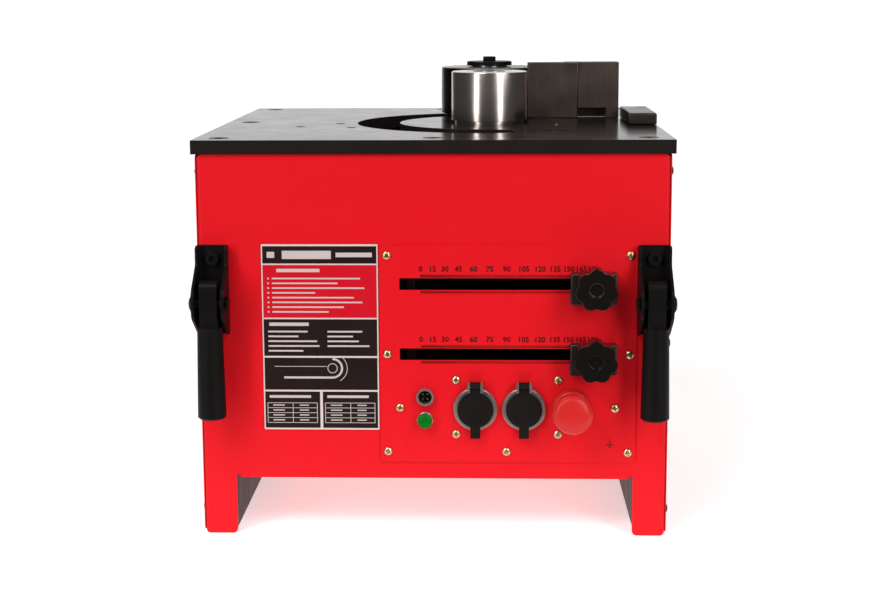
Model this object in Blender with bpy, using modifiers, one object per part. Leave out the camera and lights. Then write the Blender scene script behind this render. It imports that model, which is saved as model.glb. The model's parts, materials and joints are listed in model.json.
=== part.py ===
"""Electric bench rebar bender, modelled as its separate pieces.

Metres, +Z up. The origin is on the floor under the middle of the machine, the
front with the angle scales faces -Y, and the fence and the bar rest are at +X.
"""
import math

import bmesh
import bpy
from mathutils import Euler, Matrix, Vector

# Clearances
GAP = 0.0003             # between pieces that touch
RUNNING = 0.0004         # round a turning or sliding fit
CUTOUT_CLEAR = 0.0008    # round a piece that passes through the panel behind the plate

# Table plate
TABLE_W = 0.500
TABLE_D = 0.485
TABLE_T = 0.0145
TABLE_TOP = 0.422
TABLE_SCREW_R = 0.0107
TABLE_SCREW_DEPTH = 0.003
TABLE_SCREW_INSET = (0.0225, 0.023)   # in from the cabinet's side and front
STUD_HOLE_R = 0.0055
STUD_HOLES = ((-0.156, -0.069), (-0.1145, -0.025), (-0.097, -0.083),
              (0.106, -0.127), (0.122, -0.127), (0.138, -0.127))

# Bending tools
BEND_X = 0.059           # axis of the former and of the bending gear
BEND_Y = -0.006
ORBIT_R = 0.130          # from the former's axis to the roller's axis
BEND_TRAVEL = 180.0      # degrees
SLOT_OVERRUN = 2.0       # degrees of slot past the last roller position
PIN_R = 0.0225
PIN_CLEAR = 0.00225      # between the pin and either wall of the slot
PIN_TAIL_R = 0.014
FORMER_R = 0.0442
ROLLER_R = 0.060
TOOL_H = 0.0597          # top of the tools above the table
TOOL_FOOT_H = 0.003      # height of the relief under the tools
TOOL_FOOT_STEP = 0.004
POST_R = 0.020
POST_HEAD_R = 0.032
POST_HEAD_T = 0.0085
CAP_R = 0.028
CAP_T = 0.005
CAP_HEX_R = 0.0081
CAP_HEX_H = 0.0058
CAP_SHANK_R = 0.005
CAP_SHANK_L = 0.022

# Drive under the table
GEAR_MODULE = 0.0078
GEAR_TEETH = 40
PINION_TEETH = 10
PRESSURE_ANGLE = 25.0
ADDENDUM = 0.8           # in modules
DEDENDUM = 1.05
BACKLASH = 0.0007
GEAR_T = 0.022
GEAR_DROP = 0.010        # below the table plate
PINION_SHAFT_R = 0.0125
PINION_SHAFT_L = 0.036
GEARBOX_W = 0.120
GEARBOX_D = 0.138
GEARBOX_CLEAR = 0.010    # between the gearbox and the pinion
MOTOR_R = 0.060
MOTOR_L = 0.215
MOTOR_Z = 0.250
CONTROL_BOX_LOW = (0.000, -0.190, 0.0)
CONTROL_BOX_SIZE = (0.190, 0.080, 0.114)

# Cabinet
BODY_W = 0.493
BODY_D = 0.479
SHEET = 0.002
COVER_T = 0.0015
FLANGE = 0.030
PANEL_BEND = 0.004
PANEL_CORNER_R = 0.006
LEG_W = 0.0345
LEG_CORNER_R = 0.005
PANEL_BOTTOM = 0.062
RELIEF_W = 0.0053
RELIEF_H = 0.003
RUNNER_W = 0.030
RUNNER_T = 0.002
RUNNER_BEND = 0.003
TRAY_T = 0.003
END_GAP = 0.001          # runners, covers and tray to the end panels
SIDE_GAP = 0.0005        # runners to the legs' flanges
TRAY_GAP = 0.0007        # tray to the legs' flanges
GLAND_X = -0.150
GLAND_Z = 0.110
GLAND_R = 0.0100

# Control plate and spec plate on the front
CONTROL_T = 0.0015
CONTROL_LOW = (-0.056, 0.0805)
CONTROL_TOP = 0.312
CONTROL_CLEAR = 0.00035  # to the handle's bracket
SPEC_T = 0.001
SPEC_LOW = (-0.179, 0.115)
SPEC_HIGH = (-0.057, 0.3135)

# Angle setting
SCALE_UPPER_Z = 0.2717
SCALE_LOWER_Z = 0.197
SCALE_START_X = -0.0348
SCALE_END_X = 0.1900
SCALE_SLOT_H = 0.0125
SCALE_CORNER_R = 0.0012
SLIDER_X = 0.168         # clamp bolt with the slider at the full angle
SLIDER_TRAVEL = 0.179
BLOCK_W = 0.0485
BLOCK_H = 0.0335
BLOCK_T = 0.010
BLOCK_DROP = 0.0037      # block centre below the bolt
BLOCK_SHIFT = 0.001      # block centre beside the bolt
BLOCK_EDGE = 0.0012
CLAMP_BOLT_R = 0.004
CLAMP_HEAD_R = 0.009
CLAMP_HEAD_T = 0.003
KNOB_R = 0.0225
KNOB_SCALLOP = 0.0032
KNOB_LOBES = 7
KNOB_HUB_R = 0.0115
KNOB_HUB_H = 0.0075
KNOB_H = 0.0185
KNOB_DISH_R = 0.0072
KNOB_DISH = 0.003
SWITCH_SIZE = (0.020, 0.010, 0.012)
SWITCH_ROLLER_R = 0.003
TRIP_X = -0.0245         # carriage with the roller at rest
TRIP_W = 0.010
TRIP_D = 0.010
TRIP_BEHIND = 0.0295     # carriage behind the panel
TRIP_MARGIN = 0.013      # carriage above and below the scale slots
ROD_R = 0.005
ROD_LOW_X = -0.060
ROD_HIGH_X = 0.200

# Switches and sockets
OUTLET_X = (0.0442, 0.0952)
OUTLET_Z = 0.139
OUTLET_R = 0.023
OUTLET_T = 0.005
OUTLET_BARREL_R = 0.0195
OUTLET_BARREL_L = 0.035
OUTLET_WELL_R = 0.0168
OUTLET_WELL = 0.013
LID_R = 0.019
LID_T = 0.003
LID_NECK_W = 0.0105
LID_TAB = 0.0305         # finger tab below the lid's centre
LID_HINGE_UP = 0.0268    # hinge above the outlet's centre
LID_HINGE_OUT = 0.0087
LID_KNUCKLE_R = 0.0034
LID_PIN_R = 0.0013
LID_EAR_T = 0.0025
CONNECTOR_X = -0.0085
CONNECTOR_Z = 0.152
CONNECTOR_R = 0.0093
CONNECTOR_H = 0.006
CONNECTOR_WELL_R = 0.0072
CONNECTOR_BARREL_R = 0.0080
START_X = -0.0087
START_Z = 0.127
START_R = 0.0079
START_H = 0.012
START_TRAVEL = 0.0025
START_STEM_R = 0.0046
BEZEL_R = 0.0086
BEZEL_H = 0.004
BEZEL_BARREL_R = 0.0072
ESTOP_X = 0.1447
ESTOP_Z = 0.141
ESTOP_R = 0.0208
ESTOP_H = 0.040
ESTOP_TRAVEL = 0.004
ESTOP_COLLAR_R = 0.0203
ESTOP_COLLAR_H = 0.016
ESTOP_BARREL_R = 0.0108
ESTOP_STEM_R = 0.0062

# Folding handles
HANDLE_INSET = 0.0172    # handle's middle in from the side of the cabinet
PIVOT_Z = 0.256
PIVOT_OUT = 0.0285       # pivot in front of the bracket's back
BAR_CLEAR = 0.0045       # between the bar and either cheek of the bracket
BRACKET_T = 0.0030
BRACKET_UP = 0.057       # from the pivot
BRACKET_DOWN = 0.037
LOBE_OUT = 0.014
LOBE_HALF = 0.013
PIVOT_R = 0.005
PIVOT_HEAD_R = 0.009
PIVOT_HEAD_T = 0.0034
BAR_W = 0.0185
BAR_T = 0.016
BAR_UP = 0.024
BAR_DOWN = 0.116
GRIP_TOP = 0.024         # below the pivot
GRIP_BOTTOM = 0.121
GRIP_WALL = (0.00097, 0.00277)   # rubber outside the bar's corners, top and bottom

# Fence and bar rest
FENCE_X = (0.105, 0.150, 0.166, 0.215)
FENCE_FRONT = 0.0535
FENCE_JAW_T = 0.014
FENCE_D = 0.030
FENCE_H = 0.067
FENCE_NOTCH_W = 0.034
FENCE_NOTCH_H = 0.012
FENCE_NOTCH_WALL = 0.006   # left standing behind the notch
REST_W = 0.0323
REST_INSET = 0.0002      # from the table's edge
REST_Y = (-0.056, 0.0635)
REST_H = 0.0134
REST_NOTCH_R = 0.007
REST_NOTCH = 0.004

# Worked out from the sizes above
TABLE_BOTTOM = TABLE_TOP - TABLE_T
BODY_TOP = TABLE_BOTTOM - GAP
FRONT_Y = -BODY_D / 2
PLATE_FACE = FRONT_Y - GAP - CONTROL_T
PANEL_INSIDE = FRONT_Y + SHEET
END_HALF_W = BODY_W / 2 - COVER_T - GAP
SLOT_HALF = PIN_R + PIN_CLEAR
TRIP_Y = PANEL_INSIDE + TRIP_BEHIND
HANDLE_X = BODY_W / 2 - HANDLE_INSET
BRACKET_W = BAR_W + 2 * (BAR_CLEAR + BRACKET_T)
BAR_CORNER = math.hypot(BAR_W / 2, BAR_T / 2)
GRIP_R = (BAR_CORNER + GRIP_WALL[0], BAR_CORNER + GRIP_WALL[1])
CONTROL_HIGH = (HANDLE_X - BRACKET_W / 2 - CONTROL_CLEAR, CONTROL_TOP)
REST_X = (TABLE_W / 2 - REST_INSET - REST_W, TABLE_W / 2 - REST_INSET)
GEAR_TOP = TABLE_BOTTOM - GEAR_DROP
GEAR_BOTTOM = GEAR_TOP - GEAR_T
CENTRES = GEAR_MODULE * (GEAR_TEETH + PINION_TEETH) / 2
TRAY_LOW = PANEL_BOTTOM + 0.0005
TRAY_TOP = TRAY_LOW + TRAY_T
GEARBOX_TOP = GEAR_BOTTOM - GEARBOX_CLEAR

# Ways a piece's own axes can point: its +Z is up, out of the front, out of the back, or to +X
UP = Euler((0.0, 0.0, 0.0))
FRONT = Euler((math.pi / 2, 0.0, 0.0))
BACK = Euler((math.pi / 2, 0.0, math.pi))
ASIDE = Matrix(((0, 0, 1), (1, 0, 0), (0, 1, 0))).to_euler()
HALF_TURN = Euler((0.0, 0.0, math.pi))

FINISHES = {
    "red_paint": ((0.72, 0.018, 0.024), 0.35, 0.0),
    "black_gloss": ((0.016, 0.013, 0.012), 0.12, 0.0),
    "black_satin": ((0.014, 0.013, 0.013), 0.35, 0.0),
    "polished_steel": ((0.52, 0.50, 0.47), 0.16, 1.0),
    "dark_steel": ((0.060, 0.048, 0.044), 0.38, 0.7),
    "zinc_steel": ((0.55, 0.55, 0.55), 0.35, 1.0),
    "cast_grey": ((0.18, 0.19, 0.20), 0.55, 0.3),
    "gunmetal": ((0.050, 0.042, 0.037), 0.40, 0.6),
    "black_plastic": ((0.020, 0.018, 0.018), 0.30, 0.0),
    "black_rubber": ((0.012, 0.011, 0.011), 0.60, 0.0),
    "silver_trim": ((0.60, 0.57, 0.54), 0.30, 0.8),
    "green_plastic": ((0.0, 0.23, 0.017), 0.30, 0.0),
    "red_plastic": ((0.73, 0.030, 0.026), 0.40, 0.0),
    "spec_print": ((0.60, 0.01, 0.035), 0.45, 0.0),
}


def clear_scene():
    for thing in list(bpy.data.objects):
        bpy.data.objects.remove(thing)


def collection(name):
    group = bpy.data.collections.new(name)
    bpy.context.scene.collection.children.link(group)
    return group


def material(name):
    existing = bpy.data.materials.get(name)
    if existing:
        return existing
    colour, roughness, metallic = FINISHES[name]
    made = bpy.data.materials.new(name)
    made.use_nodes = True
    shader = made.node_tree.nodes["Principled BSDF"]
    shader.inputs["Base Color"].default_value = (*colour, 1.0)
    shader.inputs["Roughness"].default_value = roughness
    shader.inputs["Metallic"].default_value = metallic
    return made


def place(name, mesh, finish, location=(0, 0, 0), turn=UP, home=None):
    """Object of a mesh in the parts collection, or among the cutters when it has no finish."""
    thing = bpy.data.objects.new(name, mesh)
    thing.location = location
    thing.rotation_euler = turn
    thing.parent = home
    if finish is None:
        CUTTERS.objects.link(thing)
        thing.hide_render = True
        thing.display_type = "WIRE"
        return thing
    PARTS.objects.link(thing)
    mesh.materials.append(material(finish))
    if mesh.polygons:
        mesh.shade_smooth()
        mesh.set_sharp_from_angle(angle=math.radians(35))
    return thing


def mesh_from(bm, name):
    mesh = bpy.data.meshes.new(name)
    bm.to_mesh(mesh)
    bm.free()
    return mesh


def block(name, low, high, finish, soften=0.0, home=None):
    """Box between two corners, with its edges softened."""
    low = Vector(low)
    size = Vector(high) - low
    bm = bmesh.new()
    bmesh.ops.create_cube(bm, size=1.0, matrix=Matrix.Diagonal((*size, 1.0)))
    thing = place(name, mesh_from(bm, name), finish, low + size / 2, home=home)
    if soften:
        edge = thing.modifiers.new("edges", "BEVEL")
        edge.width = soften
        edge.segments = 1
    return thing


def rods(name, ends, radius, finish=None, segments=16, home=None):
    """Straight round bars, each between two points, in one mesh."""
    origin = Vector(ends[0][0])
    bm = bmesh.new()
    for start, end in ends:
        along = Vector(end) - Vector(start)
        middle = (Vector(start) + Vector(end)) / 2 - origin
        aim = along.to_track_quat("Z", "Y").to_matrix().to_4x4()
        bmesh.ops.create_cone(bm, cap_ends=True, segments=segments, radius1=radius, radius2=radius,
                              depth=along.length, matrix=Matrix.Translation(middle) @ aim)
    return place(name, mesh_from(bm, name), finish, origin, home=home)


def turned(name, profile, finish, location, turn=UP, segments=24, ring=False, home=None):
    """Turned piece: a profile of (radius, height), top to bottom, swept round its own Z."""
    edges = [(i, i + 1) for i in range(len(profile) - 1)]
    if ring:
        edges.append((len(profile) - 1, 0))
    mesh = bpy.data.meshes.new(name)
    mesh.from_pydata([(radius, 0.0, height) for radius, height in profile], edges, [])
    thing = place(name, mesh, finish, location, turn, home)
    sweep = thing.modifiers.new("turn", "SCREW")
    sweep.steps = segments
    sweep.render_steps = segments
    sweep.use_merge_vertices = True
    sweep.merge_threshold = 0.00001
    sweep.use_smooth_shade = True
    return thing


def arc(centre, radius, start, end, steps):
    """Points on a circle between two angles in degrees, both ends included."""
    points = []
    for i in range(steps + 1):
        angle = math.radians(start + (end - start) * i / steps)
        points.append((centre[0] + radius * math.cos(angle), centre[1] + radius * math.sin(angle)))
    return points


def circle(centre, radius, steps=16):
    return arc(centre, radius, 0.0, 360.0, steps)[:-1]


def fillet(before, corner, after, radius, steps):
    """Points of the arc that rounds one corner of an outline."""
    corner = Vector(corner)
    back = (Vector(before) - corner).normalized()
    ahead = (Vector(after) - corner).normalized()
    half = back.angle(ahead) / 2
    centre = corner + (back + ahead).normalized() * radius / math.sin(half)
    first = corner + back * radius / math.tan(half) - centre
    last = corner + ahead * radius / math.tan(half) - centre
    start = math.degrees(math.atan2(first.y, first.x))
    sweep = (math.degrees(math.atan2(last.y, last.x)) - start + 180.0) % 360.0 - 180.0
    return arc(centre, radius, start, start + sweep, steps)


def rounded(corners, steps=3):
    """Closed outline through corners given as (x, y) or, rounded, as (x, y, radius)."""
    outline = []
    for i, corner in enumerate(corners):
        if len(corner) == 2:
            outline.append(corner)
            continue
        before = corners[i - 1][:2]
        after = corners[(i + 1) % len(corners)][:2]
        outline += fillet(before, corner[:2], after, corner[2], steps)
    return outline


def rectangle(low, high, radius, steps=3):
    return rounded([(low[0], low[1], radius), (high[0], low[1], radius),
                    (high[0], high[1], radius), (low[0], high[1], radius)], steps)


def flat(name, loops, thickness, finish, location=(0, 0, 0), turn=UP, home=None):
    """Flat piece of an outline and its holes, centred on its own plane."""
    curve = bpy.data.curves.new(name, "CURVE")
    curve.dimensions = "2D"
    curve.fill_mode = "BOTH"
    curve.extrude = thickness / 2
    for loop in loops:
        spline = curve.splines.new("POLY")
        spline.points.add(len(loop) - 1)
        spline.use_cyclic_u = True
        for point, (x, y) in zip(spline.points, loop):
            point.co = (x, y, 0.0, 1.0)
    thing = bpy.data.objects.new(name, curve)
    bpy.context.scene.collection.objects.link(thing)
    bpy.context.view_layer.update()
    seen = thing.evaluated_get(bpy.context.evaluated_depsgraph_get())
    bm = bmesh.new()
    bm.from_mesh(bpy.data.meshes.new_from_object(seen))
    bmesh.ops.remove_doubles(bm, verts=bm.verts, dist=0.00001)
    bpy.data.objects.remove(thing)
    bpy.data.curves.remove(curve)
    mesh = mesh_from(bm, name)
    mesh.materials.clear()
    return place(name, mesh, finish, location, turn, home)


def channel(name, width, depth, bend, length, thickness, finish, location, turn=UP, home=None):
    """Sheet folded to a U that opens to its own +Y, as long as asked along its own +Z."""
    half = width / 2
    path = [(-half, depth)]
    path += fillet((-half, depth), (-half, 0.0), (half, 0.0), bend, 3)
    path += fillet((-half, 0.0), (half, 0.0), (half, depth), bend, 3)
    path += [(half, depth)]
    bm = bmesh.new()
    low = [bm.verts.new((x, y, 0.0)) for x, y in path]
    high = [bm.verts.new((x, y, length)) for x, y in path]
    for i in range(len(path) - 1):
        bm.faces.new((low[i], low[i + 1], high[i + 1], high[i]))
    thing = place(name, mesh_from(bm, name), finish, location, turn, home)
    wall = thing.modifiers.new("wall", "SOLIDIFY")
    wall.thickness = thickness
    wall.offset = -1.0
    wall.use_even_offset = True
    return thing


def boolean(piece, other, operation):
    step = piece.modifiers.new(operation.lower(), "BOOLEAN")
    step.operation = operation
    step.solver = "EXACT"
    step.object = other


def cut(piece, tool):
    boolean(piece, tool, "DIFFERENCE")


def fuse(piece, other):
    boolean(piece, other, "UNION")


def trim(piece, envelope):
    boolean(piece, envelope, "INTERSECT")


def involute(angle):
    return math.tan(angle) - angle


def gear_outline(teeth, offset):
    """Involute gear outline; offset turns it by that share of one tooth pitch."""
    pitch_r = GEAR_MODULE * teeth / 2
    base_r = pitch_r * math.cos(math.radians(PRESSURE_ANGLE))
    root_r = pitch_r - DEDENDUM * GEAR_MODULE
    tip_r = pitch_r + ADDENDUM * GEAR_MODULE
    half = math.pi / (2 * teeth) - BACKLASH / (4 * pitch_r) + involute(math.radians(PRESSURE_ANGLE))
    radii = [root_r, pitch_r, tip_r]
    outline = []
    for tooth in range(teeth):
        middle = 2 * math.pi * (tooth + offset) / teeth
        for side, row in ((-1, radii), (1, radii[::-1])):
            for radius in row:
                lean = involute(math.acos(min(1.0, base_r / max(radius, base_r))))
                angle = middle + side * (half - lean)
                outline.append((radius * math.cos(angle), radius * math.sin(angle)))
    return outline


def bend_slot():
    """Outline of the curved slot in the table: half a turn round the former, with round ends."""
    centre = (BEND_X, BEND_Y)
    first = 90.0
    last = first + BEND_TRAVEL + SLOT_OVERRUN
    start = arc(centre, ORBIT_R, first, first, 1)[0]
    end = arc(centre, ORBIT_R, last, last, 1)[0]
    outline = arc(centre, ORBIT_R + SLOT_HALF, first, last, 24)
    outline += arc(end, SLOT_HALF, last, last + 180.0, 6)[1:-1]
    outline += arc(centre, ORBIT_R - SLOT_HALF, last, first, 18)
    outline += arc(start, SLOT_HALF, first + 180.0, first + 360.0, 6)[1:-1]
    return outline


def table():
    """Thick table plate with the roller's slot, stud holes and sunk screw seats."""
    loops = [rectangle((-TABLE_W / 2, -TABLE_D / 2), (TABLE_W / 2, TABLE_D / 2), 0.001, 1)]
    loops.append(bend_slot())
    loops.append(circle((BEND_X, BEND_Y), POST_R + GAP, 24))
    middle = TABLE_TOP - TABLE_T / 2
    plate = flat("table_plate", loops, TABLE_T, "black_gloss", (0, 0, middle))
    reach_x = BODY_W / 2 - TABLE_SCREW_INSET[0]
    reach_y = BODY_D / 2 - TABLE_SCREW_INSET[1]
    seats = []
    for x in (-reach_x, 0.0, reach_x):
        for y in (-reach_y, 0.0, reach_y):
            if x or y:
                floor = Vector((x, y, TABLE_TOP - TABLE_SCREW_DEPTH))
                seats.append((floor, floor + Vector((0, 0, 0.01))))
    cut(plate, rods("screw_seats", seats, TABLE_SCREW_R, segments=12))
    studs = [((x, y, TABLE_BOTTOM - 0.001), (x, y, TABLE_TOP + 0.001)) for x, y in STUD_HOLES]
    cut(plate, rods("stud_holes", studs, STUD_HOLE_R, segments=10))


def end_outline():
    """Front view of an end panel, with its two legs and the reliefs beside them."""
    side = END_HALF_W + 0.0002
    inner = END_HALF_W - LEG_W
    half = [(inner - RELIEF_W, PANEL_BOTTOM), (inner - RELIEF_W, PANEL_BOTTOM + RELIEF_H),
            (inner, PANEL_BOTTOM + RELIEF_H), (inner, 0.0, LEG_CORNER_R),
            (side, 0.0, LEG_CORNER_R), (side, BODY_TOP, PANEL_CORNER_R)]
    mirrored = [(-corner[0], *corner[1:]) for corner in reversed(half)]
    return rounded(half + mirrored)


def panel_openings(clearance):
    """Holes in the front for the scales, sockets and buttons."""
    loops = []
    for height in (SCALE_UPPER_Z, SCALE_LOWER_Z):
        half = SCALE_SLOT_H / 2 + clearance
        low = (SCALE_START_X - clearance, height - half)
        high = (SCALE_END_X + clearance, height + half)
        loops.append(rectangle(low, high, SCALE_CORNER_R))
    for x in OUTLET_X:
        loops.append(circle((x, OUTLET_Z), OUTLET_BARREL_R + GAP + clearance, 24))
    loops.append(circle((CONNECTOR_X, CONNECTOR_Z), CONNECTOR_BARREL_R + GAP + clearance, 16))
    loops.append(circle((START_X, START_Z), BEZEL_BARREL_R + GAP + clearance, 16))
    loops.append(circle((ESTOP_X, ESTOP_Z), ESTOP_BARREL_R + GAP + clearance, 16))
    return loops


def end_panel(name, face, turn, outline_turn, holes):
    """Folded end sheet with two legs; the outline trims the fold and opens its holes."""
    panel = channel(name, 2 * END_HALF_W, FLANGE, PANEL_BEND, BODY_TOP + 0.002, SHEET,
                    "red_paint", (0, face, -0.001), turn)
    shape = flat(name + "_outline", [end_outline()] + holes, 4 * FLANGE, None, (0, face, 0),
                 outline_turn)
    trim(panel, shape)


def cabinet():
    """Sheet metal body: two end panels, two side covers, the runners and the tray."""
    end_panel("front_panel", FRONT_Y, UP, FRONT, panel_openings(CUTOUT_CLEAR))
    end_panel("rear_panel", -FRONT_Y, HALF_TURN, BACK, [circle((-GLAND_X, GLAND_Z), GLAND_R + GAP)])
    inside = BODY_D / 2 - SHEET - END_GAP
    for side, word in ((-1, "left"), (1, "right")):
        face = rectangle((-inside, 0.002), (inside, BODY_TOP - 0.0007), LEG_CORNER_R, 2)
        x = side * (BODY_W / 2 - COVER_T / 2)
        flat("side_cover_" + word, [face], COVER_T, "red_paint", (x, 0, 0), ASIDE)
        middle = side * (END_HALF_W - SHEET - SIDE_GAP - RUNNER_W / 2)
        channel("runner_" + word, RUNNER_W, TRAY_LOW - GAP, RUNNER_BEND, 2 * inside, RUNNER_T,
                "black_satin", (middle, inside, 0), FRONT)
    reach = END_HALF_W - SHEET - TRAY_GAP
    block("base_tray", (-reach, -inside, TRAY_LOW), (reach, inside, TRAY_TOP), "red_paint")


def front_plates():
    """Control plate with the scale slots, and the spec plate beside it."""
    face = [rectangle(CONTROL_LOW, CONTROL_HIGH, 0.002)] + panel_openings(0.0)
    flat("control_plate", face, CONTROL_T, "red_paint", (0, PLATE_FACE + CONTROL_T / 2, 0), FRONT)
    label = [rectangle(SPEC_LOW, SPEC_HIGH, 0.001, 2)]
    flat("spec_plate", label, SPEC_T, "spec_print", (0, FRONT_Y - GAP - SPEC_T / 2, 0), FRONT)


def tool_profile(radius, bore):
    """Ring profile shared by the former and the roller: softened top, relieved foot."""
    edge = 0.0010
    top = TABLE_TOP + TOOL_H
    foot = TABLE_TOP + TOOL_FOOT_H
    return [(bore, top), (radius - edge, top), (radius, top - edge), (radius, foot),
            (radius - TOOL_FOOT_STEP, foot), (radius - TOOL_FOOT_STEP, TABLE_TOP + GAP),
            (bore, TABLE_TOP + GAP)]


def former():
    """Fixed centre post, held by its head under the gear, and the former that turns on it."""
    top = TABLE_TOP + TOOL_H - 0.002
    under = GEAR_BOTTOM - GAP
    profile = [(0, top), (POST_R - 0.001, top), (POST_R, top - 0.001), (POST_R, under),
               (POST_HEAD_R, under), (POST_HEAD_R, under - POST_HEAD_T), (0, under - POST_HEAD_T)]
    turned("centre_post", profile, "zinc_steel", (BEND_X, BEND_Y, 0))
    turned("centre_former", tool_profile(FORMER_R, POST_R + RUNNING), "polished_steel",
           (BEND_X, BEND_Y, 0), segments=32, ring=True)


def roller():
    """Roller pin standing in the gear, the roller that turns on it and its cap screw."""
    axis = (BEND_X, BEND_Y + ORBIT_R, 0)
    top = TABLE_TOP + TOOL_H + 0.0015
    hole_floor = top - CAP_SHANK_L - 0.002
    hole_r = CAP_SHANK_R + GAP
    pin = [(0, hole_floor), (hole_r, hole_floor), (hole_r, top), (PIN_R, top),
           (PIN_R, GEAR_TOP + GAP), (PIN_TAIL_R, GEAR_TOP + GAP), (PIN_TAIL_R, GEAR_BOTTOM),
           (0, GEAR_BOTTOM)]
    turned("roller_pin", pin, "zinc_steel", axis)
    turned("bending_roller", tool_profile(ROLLER_R, PIN_R + RUNNING), "dark_steel", axis,
           segments=32, ring=True)
    seat = top + GAP
    cap = [(0, seat + CAP_T), (CAP_R - 0.0008, seat + CAP_T), (CAP_R, seat + CAP_T - 0.0008),
           (CAP_R, seat), (CAP_SHANK_R, seat), (CAP_SHANK_R, seat - CAP_SHANK_L),
           (0, seat - CAP_SHANK_L)]
    screw = turned("roller_cap_screw", cap, "black_satin", axis)
    start = Vector((*axis[:2], seat + CAP_T - 0.001))
    end = start + Vector((0, 0, CAP_HEX_H + 0.001))
    fuse(screw, rods("cap_hex", [(start, end)], CAP_HEX_R, segments=6))


def drive():
    """Bending gear, its pinion, the gearbox, the motor and the control box."""
    middle = (GEAR_TOP + GEAR_BOTTOM) / 2
    loops = [gear_outline(GEAR_TEETH, 0.0), circle((0, 0), POST_R + RUNNING, 24),
             circle((0, ORBIT_R), PIN_TAIL_R + GAP, 24)]
    flat("bend_gear", loops, GEAR_T, "cast_grey", (BEND_X, BEND_Y, middle))
    pinion_x = BEND_X - CENTRES
    pinion = flat("drive_pinion", [gear_outline(PINION_TEETH, 0.5)], GEAR_T, "zinc_steel",
                  (pinion_x, BEND_Y, middle))
    shaft_low = Vector((pinion_x, BEND_Y, GEAR_BOTTOM - PINION_SHAFT_L))
    shaft_high = Vector((pinion_x, BEND_Y, middle))
    fuse(pinion, rods("pinion_shaft", [(shaft_low, shaft_high)], PINION_SHAFT_R))
    low = Vector((pinion_x - GEARBOX_W / 2, BEND_Y - GEARBOX_D / 2, TRAY_TOP + GAP))
    high = Vector((pinion_x + GEARBOX_W / 2, BEND_Y + GEARBOX_D / 2, GEARBOX_TOP))
    case = block("gearbox_case", low, high, "cast_grey", 0.006)
    well = (shaft_low - Vector((0, 0, 0.001)), shaft_high)
    cut(case, rods("shaft_well", [well], PINION_SHAFT_R + RUNNING))
    rim = MOTOR_R - 0.006
    shell = [(0, MOTOR_L), (rim - 0.006, MOTOR_L), (rim, MOTOR_L - 0.008), (rim, MOTOR_L - 0.045),
             (MOTOR_R, MOTOR_L - 0.045), (MOTOR_R, 0.012), (MOTOR_R + 0.006, 0.012),
             (MOTOR_R + 0.006, 0), (0, 0)]
    turned("motor_body", shell, "cast_grey", (high.x + GAP, BEND_Y, MOTOR_Z),
           Euler((0, math.pi / 2, 0)))
    corner = Vector(CONTROL_BOX_LOW) + Vector((0, 0, TRAY_TOP + GAP))
    block("control_box", corner, corner + Vector(CONTROL_BOX_SIZE), "black_plastic", 0.003)


def knob_outline():
    """Star outline with even lobes and hollow sides."""
    outline = []
    steps = KNOB_LOBES * 4
    for i in range(steps):
        angle = 2 * math.pi * i / steps
        radius = KNOB_R - KNOB_SCALLOP * (1 - abs(math.cos(KNOB_LOBES * angle / 2)))
        outline.append((radius * math.sin(angle), radius * math.cos(angle)))
    return outline


def angle_slider(word, height):
    """One angle stop: block, clamp bolt, star knob outside and limit switch inside."""
    axis = (SLIDER_X, PLATE_FACE, height)
    behind = PANEL_INSIDE - PLATE_FACE + GAP
    bolt_tip = BLOCK_T + GAP + KNOB_HUB_H + KNOB_H - KNOB_DISH - 0.002
    home = bpy.data.objects.new("slider_" + word, None)
    PARTS.objects.link(home)
    home.location = axis
    low = (-BLOCK_W / 2 - BLOCK_SHIFT, -BLOCK_T - GAP, -BLOCK_H / 2 - BLOCK_DROP)
    high = (BLOCK_W / 2 - BLOCK_SHIFT, -GAP, BLOCK_H / 2 - BLOCK_DROP)
    carrier = block("slider_block_" + word, low, high, "gunmetal", BLOCK_EDGE, home)
    bore = ((0, -BLOCK_T - 0.005, 0), (0, 0.001, 0))
    cut(carrier, rods("slider_bore_" + word, [bore], CLAMP_BOLT_R + GAP, segments=16, home=home))
    bolt = [(0, bolt_tip), (CLAMP_BOLT_R, bolt_tip), (CLAMP_BOLT_R, -behind),
            (CLAMP_HEAD_R, -behind), (CLAMP_HEAD_R, -behind - CLAMP_HEAD_T),
            (0, -behind - CLAMP_HEAD_T)]
    turned("clamp_bolt_" + word, bolt, "zinc_steel", (0, 0, 0), FRONT, 12, home=home)
    near = behind + CLAMP_HEAD_T + GAP
    width, depth, tall = SWITCH_SIZE
    switch = block("limit_switch_" + word, (-width / 2, near, -tall / 2),
                   (width / 2, near + depth, tall / 2), "black_plastic", 0.0008, home)
    lever = ((0, near + depth, -tall / 4), (0, near + depth, tall / 4))
    fuse(switch, rods("switch_roller_" + word, [lever], SWITCH_ROLLER_R, segments=12, home=home))
    clamp_knob(word, home, bolt_tip)


def clamp_knob(word, home, bolt_tip):
    """Star knob on its hub, bored for the bolt and dished in front."""
    hub_low = BLOCK_T + 2 * GAP
    head_low = hub_low + KNOB_HUB_H
    head_top = head_low + KNOB_H
    knob = flat("clamp_knob_" + word, [knob_outline()], KNOB_H, "black_plastic",
                (0, -(head_low + head_top) / 2, 0), FRONT, home)
    hub = ((0, -hub_low, 0), (0, -head_low - 0.004, 0))
    fuse(knob, rods("knob_hub_" + word, [hub], KNOB_HUB_R, home=home))
    dish = ((0, -head_top + KNOB_DISH, 0), (0, -head_top - 0.002, 0))
    cut(knob, rods("knob_dish_" + word, [dish], KNOB_DISH_R, home=home))
    bore = ((0, -hub_low + 0.002, 0), (0, -bolt_tip - GAP, 0))
    cut(knob, rods("knob_bore_" + word, [bore], CLAMP_BOLT_R + RUNNING, segments=16, home=home))


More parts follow.
